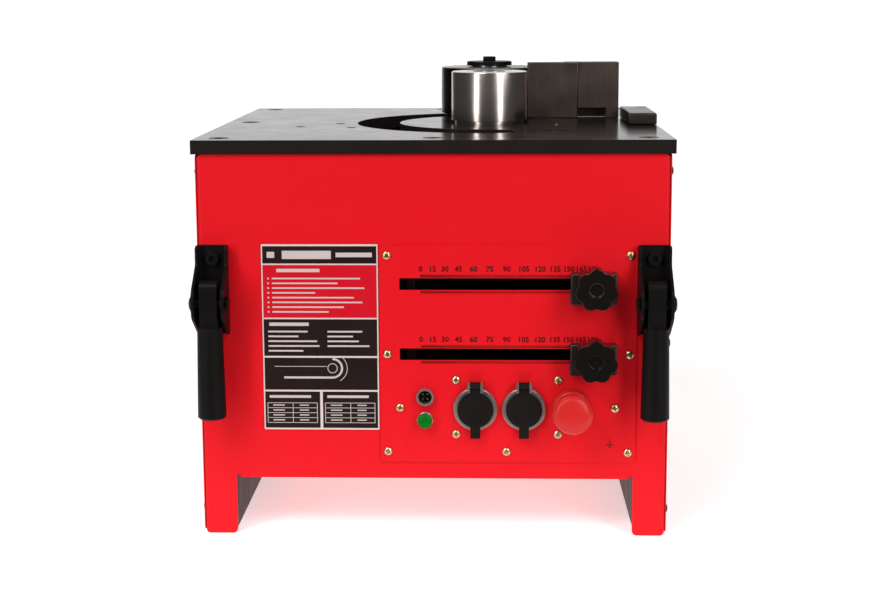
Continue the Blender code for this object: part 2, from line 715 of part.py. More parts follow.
def angle_setting():
    """Both angle stops, and the trip carriage that runs behind them on its bent rod."""
    angle_slider("upper", SCALE_UPPER_Z)
    angle_slider("lower", SCALE_LOWER_Z)
    rod_z = (SCALE_UPPER_Z + SCALE_LOWER_Z) / 2
    bend = 0.012
    foot = PANEL_INSIDE + GAP
    left = fillet((ROD_LOW_X, foot), (ROD_LOW_X, TRIP_Y), (ROD_HIGH_X, TRIP_Y), bend, 4)
    right = fillet((ROD_LOW_X, TRIP_Y), (ROD_HIGH_X, TRIP_Y), (ROD_HIGH_X, foot), bend, 4)
    curve = bpy.data.curves.new("trip_guide_rod", "CURVE")
    curve.dimensions = "3D"
    curve.bevel_depth = ROD_R
    curve.bevel_resolution = 2
    curve.use_fill_caps = True
    route = [(ROD_LOW_X, foot)] + left + right + [(ROD_HIGH_X, foot)]
    spline = curve.splines.new("POLY")
    spline.points.add(len(route) - 1)
    for point, (x, y) in zip(spline.points, route):
        point.co = (x, y, 0.0, 1.0)
    rod = bpy.data.objects.new("trip_guide_rod", curve)
    rod.location = (0, 0, rod_z)
    curve.materials.append(material("zinc_steel"))
    PARTS.objects.link(rod)
    low = (TRIP_X - TRIP_W / 2, TRIP_Y - TRIP_D, SCALE_LOWER_Z - TRIP_MARGIN)
    high = (TRIP_X + TRIP_W / 2, TRIP_Y + TRIP_D, SCALE_UPPER_Z + TRIP_MARGIN)
    carriage = block("trip_carriage", low, high, "zinc_steel", 0.001)
    tunnel = ((TRIP_X - 0.05, TRIP_Y, rod_z), (TRIP_X + 0.05, TRIP_Y, rod_z))
    cut(carriage, rods("trip_bore", [tunnel], ROD_R + RUNNING, segments=12))


def outlet(word, x):
    """Socket with its well, its hinge ears and pin, and the lid that flips up over it."""
    rim = OUTLET_R - 0.001
    profile = [(0, -OUTLET_WELL), (OUTLET_WELL_R, -OUTLET_WELL), (OUTLET_WELL_R, OUTLET_T),
               (rim, OUTLET_T), (OUTLET_R, OUTLET_T - 0.001), (OUTLET_R, GAP),
               (OUTLET_BARREL_R, GAP), (OUTLET_BARREL_R, -OUTLET_BARREL_L), (0, -OUTLET_BARREL_L)]
    at = Vector((x, PLATE_FACE, OUTLET_Z))
    socket = turned("outlet_" + word, profile, "silver_trim", at, FRONT)
    half = LID_NECK_W / 2 + 0.00035
    hinge = at + Vector((0, -LID_HINGE_OUT, LID_HINGE_UP))
    for side in (-1, 1):
        near = side * half
        far = side * (half + LID_EAR_T)
        low = Vector((min(near, far), -0.0032, -0.0075))
        high = Vector((max(near, far), LID_HINGE_OUT - 2 * GAP, 0.0030))
        fuse(socket, block("ear_%s_%d" % (word, side), hinge + low, hinge + high, None))
    pin = (hinge - Vector((half + 0.001, 0, 0)), hinge + Vector((half + 0.001, 0, 0)))
    fuse(socket, rods("lid_pin_" + word, [pin], LID_PIN_R, segments=8))
    outlet_lid(word, hinge)


def outlet_lid(word, hinge):
    """Round lid with a neck, a knuckle on the hinge and a finger tab; its origin is on the hinge."""
    back = LID_HINGE_OUT - OUTLET_T - 0.0005
    front = back - LID_T
    half = LID_NECK_W / 2
    steps = 10
    opening = math.degrees(math.asin(half / LID_R))
    centre = (0.0, -LID_HINGE_UP)
    outline = [(half, 0.0), (-half, 0.0)]
    outline += arc(centre, LID_R, 90 + opening, 270 - opening, steps)
    outline += [(-half, -LID_HINGE_UP - LID_TAB), (half, -LID_HINGE_UP - LID_TAB)]
    outline += arc(centre, LID_R, opening - 90, 90 - opening, steps)
    out = -(back + front) / 2
    disc = flat("lid_disc_" + word, [outline], LID_T, None, hinge + Vector((0, -out, 0)), FRONT)
    ends = (hinge - Vector((half, 0, 0)), hinge + Vector((half, 0, 0)))
    lid = rods("outlet_lid_" + word, [ends], LID_KNUCKLE_R, "black_plastic", 12)
    fuse(lid, disc)
    wide = Vector((half + 0.005, 0, 0))
    cut(lid, rods("lid_bore_" + word, [(hinge - wide, hinge + wide)], LID_PIN_R + RUNNING,
                  segments=8))


def buttons():
    """Pedal connector, start button with its bezel, and the emergency stop."""
    well = 0.004
    shell = [(0, -well), (CONNECTOR_WELL_R, -well), (CONNECTOR_WELL_R, CONNECTOR_H),
             (CONNECTOR_R, CONNECTOR_H), (CONNECTOR_R, GAP), (CONNECTOR_BARREL_R, GAP),
             (CONNECTOR_BARREL_R, -0.020), (0, -0.020)]
    turned("pedal_connector", shell, "silver_trim", (CONNECTOR_X, PLATE_FACE, CONNECTOR_Z), FRONT, 16)
    bore = START_STEM_R + RUNNING
    ring = [(bore, BEZEL_H), (BEZEL_R - 0.001, BEZEL_H), (BEZEL_R, BEZEL_H - 0.001), (BEZEL_R, GAP),
            (BEZEL_BARREL_R, GAP), (BEZEL_BARREL_R, -0.020), (bore, -0.020)]
    axis = (START_X, PLATE_FACE, START_Z)
    turned("start_button_bezel", ring, "silver_trim", axis, FRONT, 16, True)
    under = BEZEL_H + START_TRAVEL + GAP
    cap = [(0, START_H), (START_R * 0.7, START_H - 0.0003), (START_R, START_H - 0.002), (START_R, under),
           (START_STEM_R, under), (START_STEM_R, -0.012), (0, -0.012)]
    turned("start_button", cap, "green_plastic", axis, FRONT, 16)


def emergency_stop():
    """Collar, sliding stem and the mushroom head that turns on the stem's nose."""
    axis = (ESTOP_X, PLATE_FACE, ESTOP_Z)
    bore = ESTOP_STEM_R + RUNNING
    collar = [(bore, ESTOP_COLLAR_H), (ESTOP_COLLAR_R - 0.0015, ESTOP_COLLAR_H),
              (ESTOP_COLLAR_R, ESTOP_COLLAR_H - 0.0015), (ESTOP_COLLAR_R, GAP),
              (ESTOP_BARREL_R, GAP), (ESTOP_BARREL_R, -0.022), (bore, -0.022)]
    turned("estop_base", collar, "red_plastic", axis, FRONT, 20, True)
    under = ESTOP_COLLAR_H + ESTOP_TRAVEL + 0.0005
    nose_r = 0.0048
    nose = under + 0.010
    stem = [(0, nose), (nose_r, nose), (nose_r, under - GAP), (ESTOP_STEM_R, under - GAP),
            (ESTOP_STEM_R, -0.024), (0, -0.024)]
    turned("estop_stem", stem, "black_plastic", axis, FRONT, 12)
    socket = nose_r + RUNNING
    head = [(0, ESTOP_H), (ESTOP_R * 0.62, ESTOP_H - 0.0004), (ESTOP_R * 0.9, ESTOP_H - 0.0018),
            (ESTOP_R, ESTOP_H - 0.0045), (ESTOP_R, under + 0.001), (ESTOP_R - 0.001, under),
            (socket, under), (socket, nose + GAP), (0, nose + GAP)]
    turned("estop_head", head, "red_plastic", axis, FRONT)


def power_gland():
    """Hollow gland in the rear panel for the supply cable."""
    bore = 0.006
    profile = [(bore, 0.026), (0.009, 0.026), (0.0125, 0.020), (0.0125, 0.008), (0.0150, 0.008),
               (0.0150, GAP), (GLAND_R, GAP), (GLAND_R, -0.012), (bore, -0.012)]
    turned("power_gland", profile, "black_plastic", (GLAND_X, -FRONT_Y, GLAND_Z), BACK, 14, True)


def folding_handle(word, side, end):
    """Bracket, pivot bolt, bar and rubber grip of one handle, in a frame at the bracket's back."""
    home = bpy.data.objects.new("handle_" + word, None)
    PARTS.objects.link(home)
    home.location = (side * HANDLE_X, end * (BODY_D / 2 + GAP), PIVOT_Z)
    home.rotation_euler = HALF_TURN if end < 0 else UP
    outer = side * end
    bracket = channel("handle_bracket_" + word, BRACKET_W, PIVOT_OUT + LOBE_OUT + 0.004,
                      BRACKET_T + 0.001, BRACKET_UP + BRACKET_DOWN + 0.010, BRACKET_T,
                      "black_satin", (0, 0, -BRACKET_DOWN - 0.005), home=home)
    tip = PIVOT_OUT + LOBE_OUT
    sides = rounded([(-0.002, -BRACKET_DOWN), (0.008, -BRACKET_DOWN, 0.003), (tip, -LOBE_HALF, 0.012),
                     (tip, LOBE_HALF, 0.012), (0.013, 0.038, 0.006), (0.013, BRACKET_UP, 0.004),
                     (-0.002, BRACKET_UP)], 2)
    trim(bracket, flat("lobes_" + word, [sides], 0.06, None, (0, 0, 0), ASIDE, home))
    hole = ((-0.03, PIVOT_OUT, 0), (0.03, PIVOT_OUT, 0))
    cut(bracket, rods("pivot_hole_" + word, [hole], PIVOT_R + GAP, segments=10, home=home))
    cheek = BRACKET_W / 2 + GAP
    head = cheek + PIVOT_HEAD_T
    bolt = [(0, head), (PIVOT_HEAD_R * 0.6, head), (PIVOT_HEAD_R, head - 0.002),
            (PIVOT_HEAD_R, cheek), (PIVOT_R, cheek), (PIVOT_R, -cheek), (0.007, -cheek),
            (0.007, -cheek - 0.0035), (0, -cheek - 0.0035)]
    turned("handle_pivot_" + word, bolt, "black_satin", (0, PIVOT_OUT, 0),
           Euler((0, outer * math.pi / 2, 0)), 10, home=home)
    handle_bar(word, home)


def handle_bar(word, home):
    """Flat bar hanging from the pivot, and the grip pushed over its lower end."""
    half = BAR_T / 2
    edge = rounded([(-half, -BAR_DOWN), (half, -BAR_DOWN), (half, BAR_UP, half * 0.999),
                    (-half, BAR_UP, half * 0.999)], 4)
    eye = circle((0, 0), PIVOT_R + RUNNING, 10)
    flat("handle_bar_" + word, [edge, eye], BAR_W, "black_satin", (0, PIVOT_OUT, 0), ASIDE, home)
    top, bottom = GRIP_R
    profile = [(0, -GRIP_TOP), (top - 0.001, -GRIP_TOP), (top, -GRIP_TOP - 0.001),
               (bottom, -GRIP_BOTTOM + 0.002), (bottom - 0.002, -GRIP_BOTTOM), (0, -GRIP_BOTTOM)]
    grip = turned("handle_grip_" + word, profile, "black_rubber", (0, PIVOT_OUT, 0), UP, 16, home=home)
    low = (-BAR_W / 2 - GAP, PIVOT_OUT - half - GAP, -BAR_DOWN - GAP)
    high = (BAR_W / 2 + GAP, PIVOT_OUT + half + GAP, 0)
    cut(grip, block("grip_socket_" + word, low, high, None, home=home))


def handles():
    for end, place_word in ((-1, "front"), (1, "rear")):
        for side, side_word in ((-1, "left"), (1, "right")):
            folding_handle("%s_%s" % (place_word, side_word), side, end)


def fence():
    """Sliding fence, a hard jaw seated in the step of its carrier, and the bar rest beside it."""
    low = TABLE_TOP + GAP
    left, step, seam, right = FENCE_X
    back = FENCE_FRONT + FENCE_D
    jaw_back = FENCE_FRONT + FENCE_JAW_T
    block("fence_jaw", (left, FENCE_FRONT, low), (seam - GAP, jaw_back, low + FENCE_H),
          "dark_steel", 0.0006)
    outline = [(seam, FENCE_FRONT), (right, FENCE_FRONT), (right, back), (step, back),
               (step, jaw_back + GAP), (seam, jaw_back + GAP)]
    carrier = flat("fence_carrier", [outline], FENCE_H, "dark_steel", (0, 0, low + FENCE_H / 2))
    notch = block("fence_notch", (seam - 0.001, FENCE_FRONT - 0.001, low - 0.001),
                  (seam + FENCE_NOTCH_W, back - FENCE_NOTCH_WALL, low + FENCE_NOTCH_H), None)
    cut(carrier, notch)
    rest = block("bar_rest", (REST_X[0], REST_Y[0], low), (REST_X[1], REST_Y[1], low + REST_H),
                 "dark_steel", 0.001)
    middle = (REST_X[0] + REST_X[1]) / 2
    offset = REST_NOTCH_R - REST_NOTCH
    y = REST_Y[1] + offset
    scallop = ((middle, y, low - 0.002), (middle, y, low + REST_H + 0.002))
    cut(rest, rods("rest_scallop", [scallop], REST_NOTCH_R))


clear_scene()
PARTS = collection("rebar_bender")
CUTTERS = collection("cutters")
table()
cabinet()
front_plates()
former()
roller()
drive()
angle_setting()
for side_word, outlet_x in zip(("left", "right"), OUTLET_X):
    outlet(side_word, outlet_x)
buttons()
emergency_stop()
power_gland()
handles()
fence()
bpy.context.view_layer.update()
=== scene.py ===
"""Looks of a bench rebar bender: smooth finished pieces, screws, printed scales and a studio.

Metres, +Z up. The front with the angle scales faces -Y.
"""

import json
import math

import bmesh
import bpy
from bpy.props import FloatProperty, FloatVectorProperty, IntProperty, PointerProperty
from mathutils import Euler, Matrix, Vector


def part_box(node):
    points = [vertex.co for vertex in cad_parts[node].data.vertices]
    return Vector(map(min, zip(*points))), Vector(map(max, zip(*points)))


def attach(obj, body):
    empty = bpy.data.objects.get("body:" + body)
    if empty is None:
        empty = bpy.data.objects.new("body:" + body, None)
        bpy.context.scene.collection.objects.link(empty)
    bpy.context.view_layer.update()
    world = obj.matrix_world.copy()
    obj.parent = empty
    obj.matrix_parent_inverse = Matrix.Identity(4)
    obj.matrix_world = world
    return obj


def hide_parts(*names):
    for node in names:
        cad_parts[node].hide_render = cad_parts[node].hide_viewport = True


bl_info = {
    "name": "Rebar Bender",
    "version": (1, 0, 0),
    "blender": (4, 5, 0),
    "location": "3D View > Sidebar > Bender",
    "description": "Builds the finished pieces of a bench rebar bender and its studio",
    "category": "Object",
}

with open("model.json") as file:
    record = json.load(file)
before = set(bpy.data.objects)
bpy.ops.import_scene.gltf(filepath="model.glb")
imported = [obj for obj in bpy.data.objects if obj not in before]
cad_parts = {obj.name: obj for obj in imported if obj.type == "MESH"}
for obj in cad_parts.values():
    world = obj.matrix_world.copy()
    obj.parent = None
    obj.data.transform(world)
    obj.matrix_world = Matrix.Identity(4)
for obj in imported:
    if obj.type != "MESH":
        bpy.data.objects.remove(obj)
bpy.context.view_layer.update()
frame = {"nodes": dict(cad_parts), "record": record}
NODES = frame["nodes"]
BODY_OF = {node: body for body, members in frame["record"]["behaviour"]["bodies"].items()
           for node in members}
SLOT_OF = {part["node"]: part["material_slot"] for part in frame["record"]["subparts"]}

TABLE_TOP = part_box("table_plate")[1].z
PLATE_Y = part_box("control_plate")[0].y
SPEC_LOW, SPEC_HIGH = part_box("spec_plate")
FORMER_LOW, FORMER_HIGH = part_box("centre_former")
ROLLER_LOW, ROLLER_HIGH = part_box("bending_roller")
FORMER_AT = (FORMER_LOW + FORMER_HIGH) / 2
ROLLER_AT = (ROLLER_LOW + ROLLER_HIGH) / 2

# Softened edges of the finished copies, in metres
EDGE_OF = {
    "table_plate": 0.0009, "front_panel": 0.0004, "rear_panel": 0.0004, "side_cover_left": 0.0005,
    "side_cover_right": 0.0005, "runner_left": 0.0004, "runner_right": 0.0004,
    "control_plate": 0.0004, "spec_plate": 0.0003, "bar_rest": 0.0009, "fence_jaw": 0.0006,
    "fence_carrier": 0.0008, "pedal_connector": 0.0004, "start_button_bezel": 0.0004,
    "start_button": 0.0006, "estop_base": 0.0006, "estop_stem": 0.0, "trip_guide_rod": 0.0,
    "trip_carriage": 0.0004, "slider_block_upper": 0.0006, "slider_block_lower": 0.0006,
    "clamp_bolt_upper": 0.0003, "clamp_bolt_lower": 0.0003, "clamp_knob_upper": 0.0013,
    "clamp_knob_lower": 0.0013, "outlet_left": 0.0004, "outlet_right": 0.0004,
    "outlet_lid_left": 0.0006, "outlet_lid_right": 0.0006, "centre_post": 0.0,
    "roller_pin": 0.0, "bend_gear": 0.0, "drive_pinion": 0.0, "power_gland": 0.0004,
    "gearbox_case": 0.0, "motor_body": 0.0, "control_box": 0.0, "base_tray": 0.0,
}
for corner in ("front_left", "front_right", "rear_left", "rear_right"):
    EDGE_OF["handle_bracket_" + corner] = 0.0006
    EDGE_OF["handle_pivot_" + corner] = 0.0007
    EDGE_OF["handle_bar_" + corner] = 0.0011
    EDGE_OF["handle_grip_" + corner] = 0.0011

# Angle scales: heights of the slots, place of zero, length and bow of each scale
SCALE_Z = (0.2717, 0.197)
SCALE_ZERO_X = -0.0125
SCALE_LENGTH = 0.1788
SCALE_BOW = 0.03
SLOT_HALF_H = 0.00625
TICK_GAP = 0.0008
TICK_HEIGHT = 0.0027
LONG_TICK_HEIGHT = 0.0034
NUMBER_STEP = 15
NUMBER_RISE = 0.0095
INK_OFFSET = 0.00012
EARTH_AT = (0.1855, 0.1005)

# Bores of the two round tools, and the locating pin on the table
FORMER_BORE_R = 0.0204
ROLLER_BORE_R = 0.0229
TABLE_PIN_AT = (0.136, -0.050)

# Screws: (x, z) on the control plate, places on the side covers, brackets and table
PLATE_SCREWS = ((-0.048, 0.302), (0.205, 0.302), (-0.048, 0.197), (0.205, 0.197),
                (-0.035, 0.1395), (0.1905, 0.1395), (-0.048, 0.092), (0.077, 0.092),
                (0.2045, 0.0915), (0.024, 0.1695), (0.131, 0.1695), (0.024, 0.111),
                (0.131, 0.111))
COVER_SCREW_Z = (0.388, 0.206, 0.025)
COVER_SCREW_Y = (-0.222, 0.0, 0.222)
BRACKET_SCREW_Z = (0.299, 0.232)
BRACKET_SHEET = 0.00305
TABLE_SEATS = [(x, y) for x in (-0.224, 0.0, 0.224) for y in (-0.2165, 0.0, 0.2165)
               if (x, y) != (0.0, 0.0)]
SEAT_DEPTH = 0.003

# Camera: place, turn, downward tilt and roll in degrees, focal length in mm, shift
CAMERA_AT = (0.0580, -1.8071, 0.5610)
CAMERA_ANGLES = (2.024, 8.659, -0.289)
CAMERA_LENS = 63.37
CAMERA_SHIFT = -0.0805

FACE_FRONT = Euler((math.pi / 2, 0, 0))
FACE_UP = Euler((0, 0, 0))


# Settings that a user would change

class FinishSettings(bpy.types.PropertyGroup):
    cabinet_red: FloatVectorProperty(
        name="Cabinet red", description="Colour of the cabinet's paint", subtype="COLOR",
        size=3, min=0, max=1, default=(0.715, 0.0085, 0.015))
    tool_steel: FloatVectorProperty(
        name="Tool steel", description="Colour of the former", subtype="COLOR",
        size=3, min=0, max=1, default=(0.55, 0.485, 0.45))
    table_black: FloatVectorProperty(
        name="Table black", description="Colour of the table plate", subtype="COLOR",
        size=3, min=0, max=1, default=(0.014, 0.0105, 0.0095))
    round_steps: IntProperty(
        name="Round steps", description="Faces round each of the bending tools",
        default=128, min=24, max=256)


class ScrewSettings(bpy.types.PropertyGroup):
    plate_screw: FloatProperty(
        name="Plate screw", description="Head diameter of the control plate's screws",
        default=0.0095, min=0.006, max=0.012, unit="LENGTH")
    cover_screw: FloatProperty(
        name="Cover screw", description="Head diameter of the side covers' screws",
        default=0.0110, min=0.006, max=0.014, unit="LENGTH")
    table_screw: FloatProperty(
        name="Table screw", description="Head diameter of the table's sunk screws",
        default=0.0204, min=0.015, max=0.021, unit="LENGTH")
    seed: IntProperty(
        name="Seed", description="Start of the random turns of the screw heads", default=7)


class PrintSettings(bpy.types.PropertyGroup):
    number_height: FloatProperty(
        name="Number height", description="Height of the scale numbers",
        default=0.0056, min=0.002, max=0.008, unit="LENGTH")
    tick_step: IntProperty(
        name="Tick step", description="Degrees between two ticks of a scale",
        default=1, min=1, max=15)
    tick_width: FloatProperty(
        name="Tick width", description="Width of one tick",
        default=0.00048, min=0.0001, max=0.001, unit="LENGTH")


class StudioSettings(bpy.types.PropertyGroup):
    floor_colour: FloatVectorProperty(
        name="Floor colour", description="Colour of the studio's floor", subtype="COLOR",
        size=3, min=0, max=1, default=(0.92, 0.92, 0.92))
    key_power: FloatProperty(
        name="Key power", description="Power of the large soft light", default=50.0,
        min=0.0, unit="POWER")
    surround: FloatProperty(
        name="Surround", description="Brightness of the surround as the object sees it",
        default=0.07, min=0.0)


class BenderSettings(bpy.types.PropertyGroup):
    finishes: PointerProperty(type=FinishSettings)
    screws: PointerProperty(type=ScrewSettings)
    prints: PointerProperty(type=PrintSettings)
    studio: PointerProperty(type=StudioSettings)


# Procedural surfaces

def spread(tree, value, low, high):
    """Maps the middle of a noise onto the range from low to high."""
    node = tree.nodes.new("ShaderNodeMapRange")
    node.inputs["From Min"].default_value = 0.3
    node.inputs["From Max"].default_value = 0.7
    node.inputs["To Min"].default_value = low
    node.inputs["To Max"].default_value = high
    tree.links.new(value, node.inputs["Value"])
    return node.outputs["Result"]


def noise(tree, where, scale, detail=3.0):
    node = tree.nodes.new("ShaderNodeTexNoise")
    mapping = tree.nodes.new("ShaderNodeMapping")
    mapping.inputs["Scale"].default_value = scale
    tree.links.new(where, mapping.inputs["Vector"])
    tree.links.new(mapping.outputs["Vector"], node.inputs["Vector"])
    node.inputs["Scale"].default_value = 1.0
    node.inputs["Detail"].default_value = detail
    return node.outputs["Fac"]


def around(tree, where, centre):
    """Coordinates for turned marks: distance from an upright axis, nothing, height."""
    offset = tree.nodes.new("ShaderNodeVectorMath")
    offset.operation = "SUBTRACT"
    offset.inputs[1].default_value = (centre.x, centre.y, 0)
    flat = tree.nodes.new("ShaderNodeVectorMath")
    flat.operation = "MULTIPLY"
    flat.inputs[1].default_value = (1, 1, 0)
    length = tree.nodes.new("ShaderNodeVectorMath")
    length.operation = "LENGTH"
    height = tree.nodes.new("ShaderNodeSeparateXYZ")
    ring = tree.nodes.new("ShaderNodeCombineXYZ")
    tree.links.new(where, offset.inputs[0])
    tree.links.new(offset.outputs[0], flat.inputs[0])
    tree.links.new(flat.outputs[0], length.inputs[0])
    tree.links.new(where, height.inputs[0])
    tree.links.new(length.outputs["Value"], ring.inputs["X"])
    tree.links.new(height.outputs["Z"], ring.inputs["Z"])
    return ring.outputs["Vector"]


def surface(name, colour, tint, metallic, rough, rough_high, grain, bump, gleam=0.5, centre=None):
    """Material whose colour, roughness and relief vary with a fine grain and a broad noise."""
    made = bpy.data.materials.get(name)
    if made:
        return made
    made = bpy.data.materials.new(name)
    made.use_nodes = True
    tree = made.node_tree
    shader = tree.nodes["Principled BSDF"]
    where = tree.nodes.new("ShaderNodeTexCoord").outputs["Object"]
    fine = noise(tree, around(tree, where, centre) if centre else where, grain)
    broad = noise(tree, where, (32, 32, 32), 5.0)
    mix = tree.nodes.new("ShaderNodeMix")
    mix.data_type = "RGBA"
    blend = tree.nodes.new("ShaderNodeMath")
    blend.operation = "MULTIPLY_ADD"
    blend.use_clamp = True
    tree.links.new(spread(tree, fine, 0.0, 0.6), blend.inputs[0])
    tree.links.new(spread(tree, broad, 0.3, 1.0), blend.inputs[1])
    blend.inputs[2].default_value = 0.1
    tree.links.new(blend.outputs[0], mix.inputs["Factor"])
    mix.inputs["A"].default_value = (*colour, 1)
    mix.inputs["B"].default_value = (*tint, 1)
    relief = tree.nodes.new("ShaderNodeBump")
    relief.inputs["Strength"].default_value = 1.0
    relief.inputs["Distance"].default_value = bump
    tree.links.new(fine, relief.inputs["Height"])
    tree.links.new(mix.outputs["Result"], shader.inputs["Base Color"])
    tree.links.new(spread(tree, broad, rough, rough_high), shader.inputs["Roughness"])
    tree.links.new(relief.outputs["Normal"], shader.inputs["Normal"])
    shader.inputs["Metallic"].default_value = metallic
    shader.inputs["Specular IOR Level"].default_value = gleam
    return made


def look(slot):
    """Material of one of the record's slots."""
    settings = bpy.context.scene.bender.finishes
    red = Vector(settings.cabinet_red)
    steel = Vector(settings.tool_steel)
    black = Vector(settings.table_black)
    fine = (2600, 2600, 2600)
    table = {
        "red_paint": (red, red * 0.93, 0.0, 0.34, 0.42, (900, 900, 900), 0.000012, 0.10),
        "black_gloss": (black, black * 1.5, 0.0, 0.15, 0.20, (700, 700, 700), 0.000003, 0.08),
        "black_satin": ((0.005, 0.0042, 0.004), (0.009, 0.0078, 0.0075), 0.0, 0.34, 0.46, fine,
                        2e-5, 0.08),
        "polished_steel": (steel, steel * 0.75, 1.0, 0.16, 0.24, (1500, 1, 1500), 0.000004),
        "dark_steel": ((0.030, 0.022, 0.019), (0.050, 0.038, 0.032), 1.0, 0.26, 0.4,
                       (900, 1, 900), 0.000008),
        "zinc_steel": ((0.34, 0.33, 0.33), (0.24, 0.23, 0.23), 1.0, 0.25, 0.38, fine, 1e-5),
        "cast_grey": ((0.045, 0.047, 0.050), (0.075, 0.077, 0.080), 0.2, 0.55, 0.7, fine, 1e-4),
        "gunmetal": ((0.032, 0.024, 0.020), (0.048, 0.037, 0.031), 0.6, 0.3, 0.42, fine, 2e-5, 0.3),
        "black_plastic": ((0.007, 0.0055, 0.005), (0.012, 0.010, 0.0095), 0.0, 0.34, 0.48, fine,
                          2e-5, 0.10),
        "gloss_black_plastic": ((0.0055, 0.0038, 0.003), (0.009, 0.0065, 0.0055), 0.0, 0.10, 0.18,
                                (500, 500, 500), 4e-6, 0.40),
        "grip_rubber": ((0.0045, 0.004, 0.0038), (0.008, 0.007, 0.0068), 0.0, 0.38, 0.55, fine,
                        3e-5, 0.08),
        "silver_trim": ((0.50, 0.43, 0.40), (0.38, 0.32, 0.30), 0.9, 0.24, 0.36, fine, 6e-6),
        "green_plastic": ((0.0, 0.15, 0.010), (0.0, 0.12, 0.008), 0.0, 0.25, 0.35, fine, 6e-6, 0.1),
        "red_plastic": ((0.60, 0.020, 0.018), (0.52, 0.017, 0.015), 0.0, 0.26, 0.36, fine, 8e-6, 0.25),
        "printed_plate": ((0.66, 0.54, 0.51), (0.60, 0.49, 0.465), 0.0, 0.35, 0.45, fine, 6e-6, 0.3),
        "yellow_zinc": ((0.62, 0.47, 0.27), (0.50, 0.36, 0.19), 1.0, 0.24, 0.38, fine, 1e-5),
        "brass": ((0.62, 0.45, 0.22), (0.5, 0.36, 0.16), 1.0, 0.25, 0.35, fine, 6e-6),
        "ink_black": ((0.012, 0.006, 0.0055), (0.018, 0.010, 0.009), 0.0, 0.35, 0.5, fine, 4e-6, 0.15),
        "ink_red": ((0.60, 0.004, 0.016), (0.52, 0.004, 0.014), 0.0, 0.35, 0.5, fine, 4e-6, 0.2),
        "ink_light": ((0.58, 0.49, 0.47), (0.50, 0.42, 0.40), 0.0, 0.35, 0.5, fine, 4e-6, 0.2),
        "ground_steel": ((0.075, 0.055, 0.046), (0.11, 0.085, 0.072), 0.85, 0.34, 0.5,
                         (700, 700, 25), 0.00002),
        "milled_steel": ((0.040, 0.033, 0.030), (0.065, 0.055, 0.050), 0.85, 0.28, 0.42,
                         (20, 20, 900), 0.00002),
    }
    return surface(slot + "_finish", *table[slot])


SLOT_LOOK = {"trip_carriage": "gunmetal", "trip_guide_rod": "gunmetal",
             "fence_jaw": "ground_steel", "fence_carrier": "ground_steel",
             "bar_rest": "milled_steel", "spec_plate": "printed_plate"}


def look_of(node):
    return look(SLOT_LOOK.get(node, SLOT_OF[node]))


# Shapes

def add_object(name, mesh, finish=None):
    piece = bpy.data.objects.new(name, mesh)
    bpy.context.scene.collection.objects.link(piece)
    if finish:
        mesh.materials.clear()
        mesh.materials.append(finish)
    return piece


def mesh_from(bm, name):
    bmesh.ops.recalc_face_normals(bm, faces=bm.faces[:])
    mesh = bpy.data.meshes.new(name)
    bm.to_mesh(mesh)
    bm.free()
    return mesh


def mesh_keep(bm, name):
    """Mesh of a flat bmesh, with its faces left as they are."""
    mesh = bpy.data.meshes.new(name)
    bm.to_mesh(mesh)
    bm.free()
    return mesh


def smooth(mesh, degrees=35):
    mesh.shade_smooth()
    mesh.set_sharp_from_angle(angle=math.radians(degrees))


def lathe(name, profile, at, turn=FACE_UP, steps=64):
    """Mesh of a profile of (radius, height) pairs turned round local Z, then placed."""
    bm = bmesh.new()
    rows = []
    for radius, height in profile:
        if radius < 1e-7:
            rows.append([bm.verts.new((0, 0, height))])
            continue
        rows.append([bm.verts.new((radius * math.cos(2 * math.pi * i / steps),
                                   radius * math.sin(2 * math.pi * i / steps), height))
                     for i in range(steps)])
    for low, high in zip(rows, rows[1:]):
        for i in range(steps):
            j = (i + 1) % steps
            corners = [low[i % len(low)], low[j % len(low)], high[j % len(high)], high[i % len(high)]]
            corners = [v for k, v in enumerate(corners) if v not in corners[:k]]
            if len(corners) > 2:
                bm.faces.new(corners)
    bm.transform(Matrix.Translation(at) @ turn.to_matrix().to_4x4())
    mesh = mesh_from(bm, name)
    smooth(mesh)
    return mesh


def prism(name, sides, radius, low, high, turn=0.0):
    """Upright prism between two heights round local Z."""
    bm = bmesh.new()
    ring = [(radius * math.cos(turn + 2 * math.pi * i / sides),
             radius * math.sin(turn + 2 * math.pi * i / sides)) for i in range(sides)]
    bottom = [bm.verts.new((x, y, low)) for x, y in ring]
    top = [bm.verts.new((x, y, high)) for x, y in ring]
    bm.faces.new(bottom)
    bm.faces.new(top)
    for i in range(sides):
        j = (i + 1) % sides
        bm.faces.new([bottom[i], bottom[j], top[j], top[i]])
    return mesh_from(bm, name)


def bar(name, half_x, half_y, low, high):
    """Upright box between two heights round local Z."""
    bm = bmesh.new()
    bmesh.ops.create_cube(bm, size=1.0)
    bm.transform(Matrix.Translation((0, 0, (low + high) / 2))
                 @ Matrix.Diagonal((2 * half_x, 2 * half_y, high - low, 1)))
    return mesh_from(bm, name)


def evaluated_mesh(piece, name):
    """Plain mesh of a piece with its modifiers applied."""
    graph = bpy.context.evaluated_depsgraph_get()
    made = bpy.data.meshes.new_from_object(piece.evaluated_get(graph))
    made.name = name
    return made


def carve(base, cutters):
    """Object of base with the cutters taken out of it."""
    piece = add_object(base.name, base)
    tools = [add_object(cutter.name, cutter) for cutter in cutters]
    for tool in tools:
        step = piece.modifiers.new(tool.name, "BOOLEAN")
        step.operation = "DIFFERENCE"
        step.solver = "EXACT"
        step.object = tool
    made = evaluated_mesh(piece, base.name + "_head")
    for thing in [piece] + tools:
        bpy.data.objects.remove(thing)
    smooth(made)
    return add_object(made.name, made)


